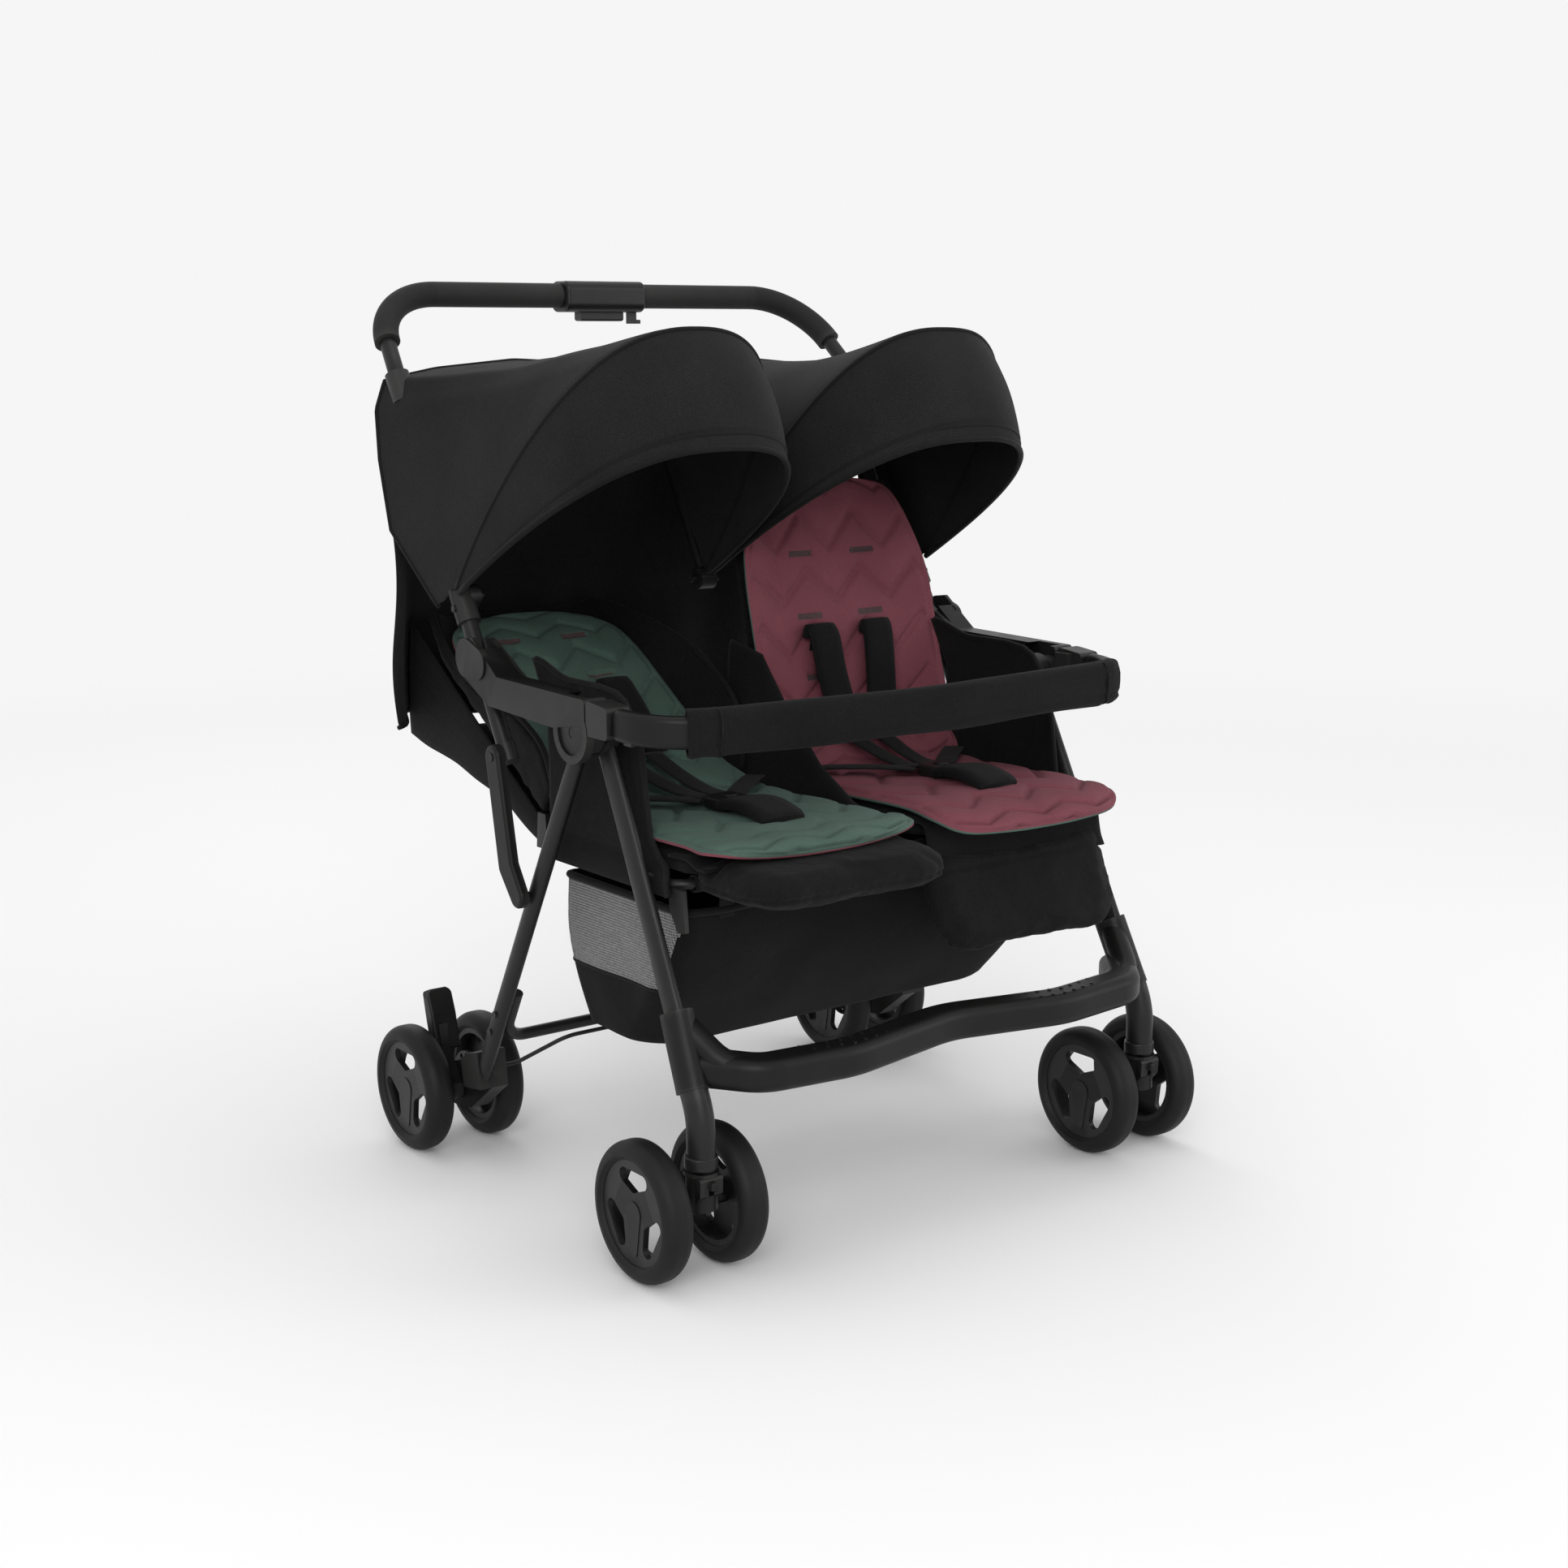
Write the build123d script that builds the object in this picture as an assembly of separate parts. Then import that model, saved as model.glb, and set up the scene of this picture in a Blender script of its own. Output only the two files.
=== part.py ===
from build123d import *
import os
from math import sin, cos, radians, hypot, pi

# Side-by-side twin stroller, in mm. X is across (pusher's left is +X), +Y is to the rear, +Z is up.
# Lengths along Y are counted from the front wheels' axle. saved() moves all to the middle of the depth.
MID_DEPTH = 281.3       # distance from the front axle back to the middle of the whole stroller
SIDES = {"right": -1, "left": 1}

# wheels
WHEEL_R, TYRE_HALF_W, TYRE_BORE_R = 75.0, 17.5, 56.0
AXLE_R, RUN = 5.0, 0.05           # axle radius, radial running clearance
PAIR_X, TWIN_HALF = 315.0, 47.0   # middle of a wheel pair, half the distance between its two wheels
REAR_AXLE_Y = 495.0
STEM_Y = -37.0                    # caster stem, ahead of the axle
# side frame pivots, as (y, z)
HUB, ARM_PIVOT, KNEE, LOCK_PIVOT = (150.0, 549.0), (365.0, 604.0), (307.0, 501.0), (262.0, 352.0)
BEND, GRIP_BAR = (541.0, 917.0), (625.0, 1004.0)
TUBE_R, TUBE_X = 9.5, 330.0
FRONT_LEG_X, REAR_LEG_X = 307.0, 327.0
PIN_R = 6.0
LEG_HALF = (8.0, 14.5)                    # half-width and half-depth of a front leg's oval tube
BUMPER_END_Y = 74.0                       # where the bumper bar meets the arms ahead of the hubs
# seats and soft goods
SEAT_MID, SEAT_HALF = 153.0, 132.0
RECLINE_PIVOT = (300.0, 420.0)
CALF_PIVOT = (38.0, 398.0)             # also the axis of the seat frame's front tube
SEAT_TUBE_R = 5.5
LEAN = {"right": 57.0, "left": 14.0}      # backrest angle from vertical
DROP = {"right": 3.0, "left": 64.0}       # calf rest angle below horizontal
CANOPY_PIVOT = (400.0, 668.0)
BRACE_Z = 900.0                           # height of the bar between the push bar's tubes
SHEET = 2.5                               # thickness of sewn covers


def smooth_path(points, radii):
    """A wire of straight runs joined by tangent arcs; radii are for the inner points."""
    pts = [Vector(*p) for p in points]
    edges, start = [], pts[0]
    for before, corner, after, radius in zip(pts, pts[1:], pts[2:], radii):
        a, b = (before - corner).normalized(), (after - corner).normalized()
        half = a.get_angle(b) * pi / 360
        back = radius / abs(sin(half) / cos(half))
        to_middle = (a + b).normalized()
        middle = corner + to_middle * (radius / sin(half) - radius)
        edges += [Line(start, corner + a * back), ThreePointArc(corner + a * back, middle, corner + b * back)]
        start = corner + b * back
    return Wire(edges + [Line(start, pts[-1])])


def swept(path, section, x_dir=None):
    start = path.position_at(0)
    along = path.tangent_at(0)
    plane = Plane(start, x_dir=x_dir, z_dir=along) if x_dir else Plane(start, z_dir=along)
    return sweep(plane * section, path=path)


def rod(start, end, radius):
    a, b = Vector(*start), Vector(*end)
    return Plane(a, z_dir=b - a) * Cylinder(radius, (b - a).length, align=(Align.CENTER, Align.CENTER, Align.MIN))


def cross_rod(x0, x1, y, z, radius):
    return rod((min(x0, x1), y, z), (max(x0, x1), y, z), radius)


def block(x0, x1, y0, y1, z0, z1):
    return Pos((x0 + x1) / 2, (y0 + y1) / 2, (z0 + z1) / 2) * Box(abs(x1 - x0), abs(y1 - y0), abs(z1 - z0))


def plate(outline, x0, x1):
    """Side-view outline of (y, z) points, as a plate between two x positions."""
    lo, hi = min(x0, x1), max(x0, x1)
    face = Plane(origin=(lo, 0, 0), x_dir=(0, 1, 0), z_dir=(1, 0, 0)) * make_face(Polyline(*outline, close=True))
    return extrude(face, amount=hi - lo)


def hull_plate(a, ra, b, rb, x0, x1):
    """Two round bosses at (y, z) joined by straight tangent sides, between two x positions."""
    lo, hi = min(x0, x1), max(x0, x1)
    plane = Plane(origin=(lo, 0, 0), x_dir=(0, 1, 0), z_dir=(1, 0, 0))
    sketch = make_hull((Pos(*a) * Circle(ra)).edges() + (Pos(*b) * Circle(rb)).edges())
    return extrude(plane * sketch, amount=hi - lo)


def both_sides(shape):
    return Compound([shape, mirror(shape, about=Plane.YZ)])


def softened(shape, edges, radius):
    """The edges rounded by the largest of a few radii that the shape takes."""
    for r in (radius, radius * 0.6, radius * 0.3):
        try:
            return fillet(edges, r)
        except Exception:
            continue
    return shape


def in_side_view(pivot, along, up, angle):
    """Point reached by going along a line leaning by an angle from vertical, then square to it."""
    a = radians(angle)
    return pivot[0] + along * sin(a) - up * cos(a), pivot[1] + along * cos(a) + up * sin(a)


def leaning_block(x0, x1, pivot, angle, along, up):
    """A block whose side view lies along a line that leans from vertical; up is its reach to the front."""
    corners = [in_side_view(pivot, s, u, angle) for s, u in
               ((along[0], up[0]), (along[1], up[0]), (along[1], up[1]), (along[0], up[1]))]
    return plate(corners, x0, x1)


# ---------------------------------------------------------------- front frame

def leg_path(low_z):
    return smooth_path([(FRONT_LEG_X, HUB[0] - 8, HUB[1] - 16), (PAIR_X, STEM_Y, 176), (PAIR_X, STEM_Y, low_z)], [160])


def leg_shoe():
    """Thick oval lower end of a front leg, from inside the crossbar's sleeve to the caster."""
    path = smooth_path([(PAIR_X, -18, 216), (PAIR_X, STEM_Y, 176), (PAIR_X, STEM_Y, 122)], [85])
    return swept(path, Ellipse(14, 17), x_dir=(1, 0, 0))


def front_leg():
    tube = swept(leg_path(130), Ellipse(*LEG_HALF), x_dir=(1, 0, 0))
    foot = Pos(PAIR_X, STEM_Y, 129) * Cylinder(17.5, 14)
    foot = softened(foot, foot.edges().filter_by(GeomType.CIRCLE), 2) + leg_shoe()
    bore = Pos(PAIR_X, STEM_Y, 132) * Cylinder(AXLE_R + RUN, 24)
    rivet = rod((FRONT_LEG_X + 5, 40, 331), (FRONT_LEG_X + 11, 40, 331), 4.5)
    return tube + foot - bore + rivet


def hub_bracket():
    disc = cross_rod(297, 316.5, *HUB, 28)
    disc = softened(disc, disc.edges().filter_by(GeomType.CIRCLE).sort_by(Axis.X)[0], 5)
    pin = cross_rod(316, 343, *HUB, PIN_R)
    socket = rod((FRONT_LEG_X, HUB[0] - 8.5, HUB[1] - 17), (FRONT_LEG_X, HUB[0] - 40, HUB[1] - 80), 1)
    outline = Plane(origin=(FRONT_LEG_X, HUB[0] - 6, HUB[1] - 12), x_dir=(1, 0, 0), z_dir=(0, -0.447, -0.894))
    hole = extrude(outline * Ellipse(LEG_HALF[0] + 0.3, LEG_HALF[1] + 0.3), amount=60)
    arm = plate([(BUMPER_END_Y + 4, 550), (BUMPER_END_Y + 4, 583), (105, 586), (118, 587), (118, 550)], 318, 346)
    arm = softened(arm, arm.edges().filter_by(Axis.X), 5) - cross_rod(317, 347, *HUB, 35)
    arm += block(310, 322, 92, 114, 552, 582) - cross_rod(317, 347, *HUB, 35)
    # socket for the bumper bar's tongue
    return disc + pin + arm - hole - socket - block(325.7, 338.3, 70, 108, 555.7, 576.3)


def front_crossbar():
    """Foot bar with two rows of grip bumps. Each end sweeps up into a sleeve around the leg."""
    path = smooth_path([(-300, -12, 220), (-258, -64, 218), (-150, -72, 216), (0, -48, 220), (150, -72, 216),
                        (258, -64, 218), (300, -12, 220)], [40, 160, 160, 160, 40])
    whole = swept(path, RectangleRounded(36, 42, 12), x_dir=(0, 0, 1))
    sleeve = swept(smooth_path([(FRONT_LEG_X + 3, 12, 274), (PAIR_X - 1, -18, 212), (PAIR_X, -24, 200)], [60]),
                   Ellipse(16.5, 20), x_dir=(1, 0, 0))
    horn = swept(smooth_path([(205, -70, 220), (286, -46, 221), (PAIR_X - 7, 4, 262)], [48]), Ellipse(14, 15))
    sleeve += horn
    whole = whole + sleeve + mirror(sleeve, about=Plane.YZ)
    for s in (-1, 1):
        for row, y in enumerate((-81, -66)):
            for i in range(-3, 4):
                whole += Pos(s * (150 + 16 * i + 8 * row), y + 2.5 * abs(i), 232.5) * Cylinder(2.2, 6)
    for side in (1, -1):
        leg = swept(leg_path(130), Ellipse(LEG_HALF[0] + 0.3, LEG_HALF[1] + 0.3), x_dir=(1, 0, 0)) + leg_shoe()
        whole -= leg if side > 0 else mirror(leg, about=Plane.YZ)
    return whole


def seat_frame():
    """Tube ring under both seats, its brackets to the front legs, and the calf rest catches."""
    ring = smooth_path([(0, 38, 398), (290, 38, 398), (290, 300, 398), (-290, 300, 398), (-290, 38, 398),
                        (0, 38, 398)], [25, 25, 25, 25])
    frame = swept(ring, Circle(SEAT_TUBE_R))
    for side in (1, -1):
        frame += cross_rod(side * 290, side * 297.5, 75, 398, 9)
        frame += plate([(288, 392), (312, 392), (308, 432), (292, 432)], side * 289, side * 293.5)
        frame += cross_rod(side * 282, side * 292, *RECLINE_PIVOT, PIN_R - 1)
        frame += plate([(20, 352), (34, 350), (48, 372), (50, 396), (24, 396)], side * 287.5, side * 292.5)
    frame += block(-3, 3, 34, 304, 392, 404)
    frame += plate([(290, 396), (310, 396), (308, 430), (292, 430)], -4, 4)
    frame += cross_rod(-16, 16, *RECLINE_PIVOT, PIN_R - 1)
    return frame


def seats():
    """Padded pans and the fabric sides between the pans and the armrests."""
    made = []
    for side in (1, -1):
        pan = block(side * (SEAT_MID - SEAT_HALF), side * (SEAT_MID + SEAT_HALF), 24, 268, 408, 428)
        pan = softened(pan, pan.edges().filter_by(Axis.Z), 12)
        pan = softened(pan, pan.faces().sort_by(Axis.Z)[-1].edges(), 5)
        wall = plate([(50, 411), (60, 408), (286, 408), (286, 545), (318, 600), (250, 588), (150, 587), (130, 578),
                      (101, 532), (88, 441)], side * 286.5, side * 289)
        made += [pan + block(side * 280, side * 289, 40, 260, 409, 414) + wall]
    return Compound(made)


def seat_liner(side):
    pad = block(side * (SEAT_MID - 132), side * (SEAT_MID + 132), -38, 262, 429, 441)
    pad = softened(pad, pad.edges().filter_by(Axis.Z).group_by(Axis.Y)[0], 85)
    return softened(pad, pad.faces().sort_by(Axis.Z)[-1].edges(), 4)


def buckle(side):
    """Crotch strap with its pad, and the buckle on it."""
    x = side * SEAT_MID
    pad = block(x - 24, x + 24, 40, 118, 442, 452)
    pad = softened(pad, pad.edges().filter_by(Axis.Z), 14)
    body = block(x - 22, x + 22, 119, 160, 442, 458)
    body = softened(body, body.edges().filter_by(Axis.Z), 8)
    return pad + body + block(x - 12, x + 12, 117, 121, 443, 450)


def basket():
    """Fabric box with an open top, hung from the seat frame by straps."""
    def body(shrink, low):
        top = Pos(0, 170, 364 + shrink) * Rectangle(544 - 2 * shrink, 240 - 2 * shrink)
        bottom = Pos(0, 222, 182 + low) * Rectangle(508 - 2 * shrink, 128 - 2 * shrink)
        return loft([top, bottom])
    shell = body(0, 0) - body(SHEET, SHEET)
    for x in (-228, -10, 208):
        for y in (51, 287):
            shell += block(x, x + 20, y, y + 2, 356, 391.5)
    return shell


# ---------------------------------------------------------------- wheels

def tyre(x, y):
    half = TYRE_HALF_W
    corners = ((TYRE_BORE_R, -13), (60, -half), (WHEEL_R, -half), (WHEEL_R, half), (60, half), (TYRE_BORE_R, 13))
    profile = make_face(Polyline(*corners, close=True))
    profile = fillet(profile.vertices().filter_by_position(Axis.X, WHEEL_R - 1, WHEEL_R + 1), 14)
    return Pos(x, y, WHEEL_R) * Rot(0, 90, 0) * revolve(Plane.XZ * profile, Axis.Z)


def rim(x, y, outward, braked=False):
    """Flat face with three windows between wide spokes, a ring, a hub and a raised emblem plate.

    outward is +1 or -1 along X. One spoke points straight down."""
    down = 90 - 90 * outward
    wheel = Cylinder(TYRE_BORE_R - 0.1, 24) - Cylinder(49.5, 24) + Pos(0, 0, 8.5) * Cylinder(50, 7)
    wheel += Pos(0, 0, -7) * Cylinder(13, 38)
    window = Pos(26, 0) * Circle(4) + Pos(37.5, 17) * Circle(8) + Pos(37.5, -17) * Circle(8)
    window = extrude(make_hull(window.edges()), amount=12)
    for i in range(3):
        wheel -= Rot(0, 0, down + 60 + 120 * i) * Pos(0, 0, 3) * window
    plate_edge = Circle(13).edges() + (Pos(41, 0) * Circle(6)).edges()
    wheel += Rot(0, 0, down) * Pos(0, 0, 11.5) * extrude(make_hull(plate_edge), amount=1.4)
    wheel -= Pos(0, 0, -9) * Cylinder(AXLE_R + RUN, 38)
    if braked:
        ring = Pos(0, 0, -21.5) * (Cylinder(30, 5) - Cylinder(12, 5))
        holes = [Rot(0, 0, 30 * i) * Pos(24, 0, -21.5) * Cylinder(3.6, 6) for i in range(12)]
        for hole in holes:
            ring -= hole
        wheel += ring
    return Pos(x, y, WHEEL_R) * Rot(0, 90 * outward, 0) * wheel


# ---------------------------------------------------------------- front swivels

def caster_fork(side):
    x = side * PAIR_X
    body = plate([(-56, 117), (-18, 117), (8, 96), (15, 80), (13, 64), (0, 59), (-14, 62), (-42, 84), (-55, 98)],
                 x - 14, x + 14)
    body = softened(body, body.edges().filter_by(Axis.X), 4)
    body += Pos(x, STEM_Y, 99) * Cylinder(16.5, 40)
    body += Pos(x, STEM_Y, 118.25) * Cylinder(18.5, 3.5)
    body += Pos(x, STEM_Y, 129) * Cylinder(AXLE_R, 26)
    body += cross_rod(x - TWIN_HALF - 9, x + TWIN_HALF + 9, 0, WHEEL_R, AXLE_R)
    return body - block(x - 3.2, x + 3.2, -60, -45, 97, 113)


def swivel_lock(side):
    x = side * PAIR_X
    tab = block(x - 2.9, x + 2.9, -61, -46, 104, 112)
    return softened(tab, tab.faces().sort_by(Axis.Y)[0].edges(), 1.5)


# ---------------------------------------------------------------- rear frame

LEG_SLOPE = (390 - HUB[0], 112 - HUB[1])


def rear_leg():
    length = hypot(*LEG_SLOPE)
    axis = Plane(origin=(REAR_LEG_X, HUB[0], HUB[1]), x_dir=(1, 0, 0), z_dir=(0, LEG_SLOPE[0], LEG_SLOPE[1]))
    tube = axis * (Pos(0, 0, 14) * extrude(Ellipse(8, 11), amount=length - 14))
    leg = tube + cross_rod(317.3, 335, *HUB, 24) - cross_rod(300, 340, *HUB, PIN_R + RUN)
    for z in (196, 172):
        y = HUB[0] + LEG_SLOPE[0] * (z - HUB[1]) / LEG_SLOPE[1]
        leg += cross_rod(REAR_LEG_X + 6, REAR_LEG_X + 10, y, z, 4)
    pin = cross_rod(REAR_LEG_X, 351, *LOCK_PIVOT, 4)
    return leg + pin


def rear_housing():
    """Holds the leg's lower end, the axle, the brake pin and, on the right side, the brake pedal's pin."""
    body = plate([(386, 140), (408, 134), (450, 112), (500, 97), (516, 78), (505, 59), (470, 52), (430, 58), (380, 96)],
                 300, 322)
    body += plate([(386, 140), (408, 134), (425, 122), (420, 90), (380, 96)], 321, 337)
    body = softened(body, body.edges().filter_by(Axis.X), 3)
    axis = Plane(origin=(REAR_LEG_X, HUB[0], HUB[1]), x_dir=(1, 0, 0), z_dir=(0, LEG_SLOPE[0], LEG_SLOPE[1]))
    body -= axis * (Pos(0, 0, 100) * extrude(Ellipse(8.2, 11.2), amount=hypot(*LEG_SLOPE) - 99.8))
    body -= cross_rod(298, 330, REAR_AXLE_Y, WHEEL_R, AXLE_R + 0.02)
    return body - cross_rod(299, 318, *BRAKE_PIN, 3 + RUN)


BRAKE_PIN = (REAR_AXLE_Y - 24 * cos(radians(30)), WHEEL_R + 12)
PEDAL_PIVOT = (458.0, 75.0)


def rear_housings():
    pair = both_sides(rear_housing()).solids()
    right, left = sorted(pair, key=lambda s: s.center().X)
    return Compound([right + cross_rod(-318, -335, *PEDAL_PIVOT, AXLE_R), left])


def rear_axles():
    return both_sides(cross_rod(PAIR_X - TWIN_HALF - 9, PAIR_X + TWIN_HALF + 9, REAR_AXLE_Y, WHEEL_R, AXLE_R))


def rear_crossbar():
    """U-shaped cross tube riveted to the legs, with two clips for the brake cable."""
    path = smooth_path([(-310, 336, 219), (-310, 370, 157), (310, 370, 157), (310, 336, 219)], [28, 28])
    bar = swept(path, Circle(7))
    for x in (-150, 150):
        clip = block(x - 5, x + 5, 364, 376, 137, 152) - cross_rod(x - 6, x + 6, 370, 143, CABLE_R + 0.1)
        bar += clip
    return bar


CABLE_R = 2.5


def brake_cable():
    path = smooth_path([(-299.5, 402, 112), (-275, 402, 112), (-225, 370, 143), (225, 370, 143), (275, 402, 112),
                        (299.5, 402, 112)], [20, 40, 40, 20])
    return swept(path, Circle(CABLE_R))


def brake_pedal():
    pivot = cross_rod(-323, -334, *PEDAL_PIVOT, 12)
    arm = plate([(449, 82), (466, 70), (492, 120), (498, 150), (482, 150), (478, 126)], -323, -334)
    paddle = plate([(478, 118), (494, 116), (504, 150), (512, 184), (500, 190), (488, 160)], -307, -340)
    paddle = softened(paddle, paddle.edges(), 3)
    paddle &= Pos(-323.5, 490, 147) * Rot(90, 0, 0) * extrude(RectangleRounded(33, 86, 12), amount=40, both=True)
    return pivot + arm + paddle - cross_rod(-320, -336, *PEDAL_PIVOT, AXLE_R + RUN)


def brake_pin(side):
    return cross_rod(side * 317, side * 294, *BRAKE_PIN, 3)


# ---------------------------------------------------------------- armrests and bumper bar

def armrest():
    rail = plate([(121, 560), (121, 587), (300, 590), (352, 628), (384, 622), (390, 598), (370, 581),
                  (320, 556), (186, 550)], 318, 346)
    rail = softened(rail, rail.edges().filter_by(Axis.X), 6)
    rail -= cross_rod(300, 336, *HUB, 43)
    rail += cross_rod(336, 346, *HUB, 33) - cross_rod(343.5, 347, *HUB, 24)
    rail -= cross_rod(330, 343.6, *HUB, PIN_R + RUN)
    # fork around the push bar's tube, open above, below and behind
    rail -= plate([(335, 540), (318, 575), (345, 600), (325, 640), (400, 640), (400, 540)], 317, 341)
    rail += hull_plate(ARM_PIVOT, 22, (342, 600), 18, 341, 348)
    inner = hull_plate(ARM_PIVOT, 20, (300, 576), 14, 311.5, 318.5)
    rail += inner
    return rail - cross_rod(310, 346.1, *ARM_PIVOT, 4 + RUN)



def bumper_path(y_end):
    return smooth_path([(-332, y_end, 566), (-332, 2, 563), (0, -22, 561), (332, 2, 563), (332, y_end, 566)],
                       [74, 900, 74])


def bumper_bar():
    bar = swept(bumper_path(BUMPER_END_Y), RectangleRounded(16, 34, 7), x_dir=(1, 0, 0))
    for side in (1, -1):
        x = side * 332
        bar += block(x - 6, x + 6, BUMPER_END_Y - 4, 102, 556, 576)
        bar -= block(x - 4.2, x + 4.2, 48.8, 63.2, 546, 558)
    return bar


def bumper_cover():
    """Padded fabric sleeve over the bumper bar, with its hem along the bottom."""
    whole = swept(bumper_path(BUMPER_END_Y), RectangleRounded(24, 48, 10), x_dir=(1, 0, 0))
    whole -= swept(bumper_path(BUMPER_END_Y + 2), RectangleRounded(16.6, 34.6, 7.2), x_dir=(1, 0, 0))
    return whole & block(-296, 296, -60, 36, 520, 600)


def bumper_button(side):
    x = side * 332
    button = block(x - 3.8, x + 3.8, 49.2, 62.8, 546.5, 555)
    return softened(button, button.faces().sort_by(Axis.Z)[0].edges(), 1.5)


# ---------------------------------------------------------------- push bar

def push_points():
    return [(TUBE_X, *KNEE), (TUBE_X, *BEND), (312, *GRIP_BAR), (-312, *GRIP_BAR), (-TUBE_X, *BEND), (-TUBE_X, *KNEE)]


PUSH_RADII = [60, 92, 92, 60]


def push_tube():
    tube = swept(smooth_path(push_points(), PUSH_RADII), Circle(TUBE_R))
    for side in (1, -1):
        tube += cross_rod(side * 312.5, side * 345.5, *ARM_PIVOT, 4)
        a = (side * TUBE_X, KNEE[0] - 4, KNEE[1] - 7)
        tube += rod(a, (side * TUBE_X, KNEE[0] + 6, KNEE[1] + 11), TUBE_R + 1.5)
    return tube


def grip_path():
    """From just above the bend, round the corner of the handle loop, to the housing."""
    bend, corner = Vector(TUBE_X, *BEND), Vector(312, *GRIP_BAR)
    into, out = (bend - corner).normalized(), Vector(-1, 0, 0)
    half = into.get_angle(out) * pi / 360
    back = PUSH_RADII[1] / (sin(half) / cos(half))
    middle = corner + (into + out).normalized() * (PUSH_RADII[1] / sin(half) - PUSH_RADII[1])
    start, end = corner + into * back, corner + out * back
    return Wire([ThreePointArc(start, middle, end), Line(end, Vector(59, *GRIP_BAR))])


def handle_grips():
    path = grip_path()
    return both_sides(swept(path, Circle(15)) - swept(path, Circle(TUBE_R + 0.15)))


def handle_housing():
    y, z = GRIP_BAR
    body = block(-57.5, 57.5, y - 21, y + 21, z - 20, z + 18)
    body = softened(body, body.edges().filter_by(Axis.X), 11)
    body = softened(body, body.faces().sort_by(Axis.X)[0].edges() + body.faces().sort_by(Axis.X)[-1].edges(), 4)
    body += block(44, 52, y - 6, y + 6, z - 34, z - 16) + block(44, 58, y - 6, y + 6, z - 34, z - 29)
    body -= cross_rod(-60, 60, y, z, TUBE_R + 0.15)
    return body - block(-32.5, 32.5, y - 8.5, y + 8.5, z - 25, z - 11)


def fold_trigger():
    y, z = GRIP_BAR
    paddle = block(-31.5, 31.5, y - 7.5, y + 7.5, z - 31, z - 18.5)
    return softened(paddle, paddle.faces().sort_by(Axis.Z)[0].edges(), 3)


def tube_line(z):
    """The push tube's y at a height on its straight part."""
    return KNEE[0] + (BEND[0] - KNEE[0]) * (z - KNEE[1]) / (BEND[1] - KNEE[1])


def handle_brace():
    """Cross bar between the tubes, with a collar on each tube just under the bend."""
    z = BRACE_Z
    y = tube_line(z)
    bar = cross_rod(-(TUBE_X - 12), TUBE_X - 12, y, z, 7)
    for side in (1, -1):
        a, b = (side * TUBE_X, tube_line(z - 20), z - 20), (side * TUBE_X, tube_line(z + 12), z + 12)
        bar += rod(a, b, 14)
    for side in (1, -1):
        a, b = (side * TUBE_X, tube_line(z - 40), z - 40), (side * TUBE_X, tube_line(z + 30), z + 30)
        bar -= rod(a, b, TUBE_R + 0.15)
    return bar


def canopy_mounts():
    """Clips with rivets on the tubes, and a middle post that hangs from the brace bar."""
    y, z = CANOPY_PIVOT
    parts = []
    for side in (1, -1):
        a = (side * TUBE_X, tube_line(z - 28), z - 28)
        b = (side * TUBE_X, tube_line(z + 14), z + 14)
        clip = rod(a, b, 13.5) + cross_rod(side * 312, side * 326, y, z, 13) + cross_rod(side * 304, side * 313, y, z, 4)
        long_a, long_b = (side * TUBE_X, tube_line(z - 60), z - 60), (side * TUBE_X, tube_line(z + 60), z + 60)
        parts.append(clip + cross_rod(side * 340, side * 345.5, tube_line(z - 12), z - 12, 4) - rod(long_a, long_b, TUBE_R + 0.15))
    post = rod((0, y, z), (0, tube_line(890), 890), 5) + cross_rod(-11, 11, y, z, 13) + cross_rod(-20, 20, y, z, 4)
    parts.append(post)
    return Compound(parts)


# ---------------------------------------------------------------- canopies

def arch_points(half, height, foot, turns=14):
    """Half arch shape as (across, out) points, closed by its foot."""
    pts = []
    for i in range(turns + 1):
        a = pi * i / turns
        c, s = cos(a), sin(a)
        pts.append((half * (abs(c) ** 0.8) * (1 if c > 0 else -1), foot + (height - foot) * abs(s) ** 0.8))
    return pts


def arch_face(mid_x, pivot, angle, half, height, foot):
    a = radians(angle)
    plane = Plane(origin=(mid_x, *pivot), x_dir=(1, 0, 0), z_dir=(0, -sin(a), cos(a)))
    return plane * make_face(Polyline(*arch_points(half, height, foot), close=True))


def shell_between(faces_out, faces_in):
    return loft(faces_out, ruled=True) - loft(faces_in, ruled=True)


def canopy_front(side):
    """Front canopy over one seat, from its middle bow to the front rim, and the arms to its pivots."""
    mid = side * 157.0
    y, z = CANOPY_PIVOT

    def at(angle, half, height):
        return arch_face(mid, CANOPY_PIVOT, angle, half, height, 26)

    shell = shell_between([at(129, 142, 375), at(150, 140, 342)],
                          [at(128, 142 - SHEET, 377 - SHEET), at(151, 140 - SHEET, 339 - SHEET)])
    for end in (-1, 1):
        x = mid + end * 140.5
        arm = hull_plate(CANOPY_PIVOT, 11, (y - 30, z + 26), 6, x - 1.6, x + 1.6)
        shell += arm - cross_rod(x - 3, x + 3, y, z, 4 + RUN)
    return shell


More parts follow.
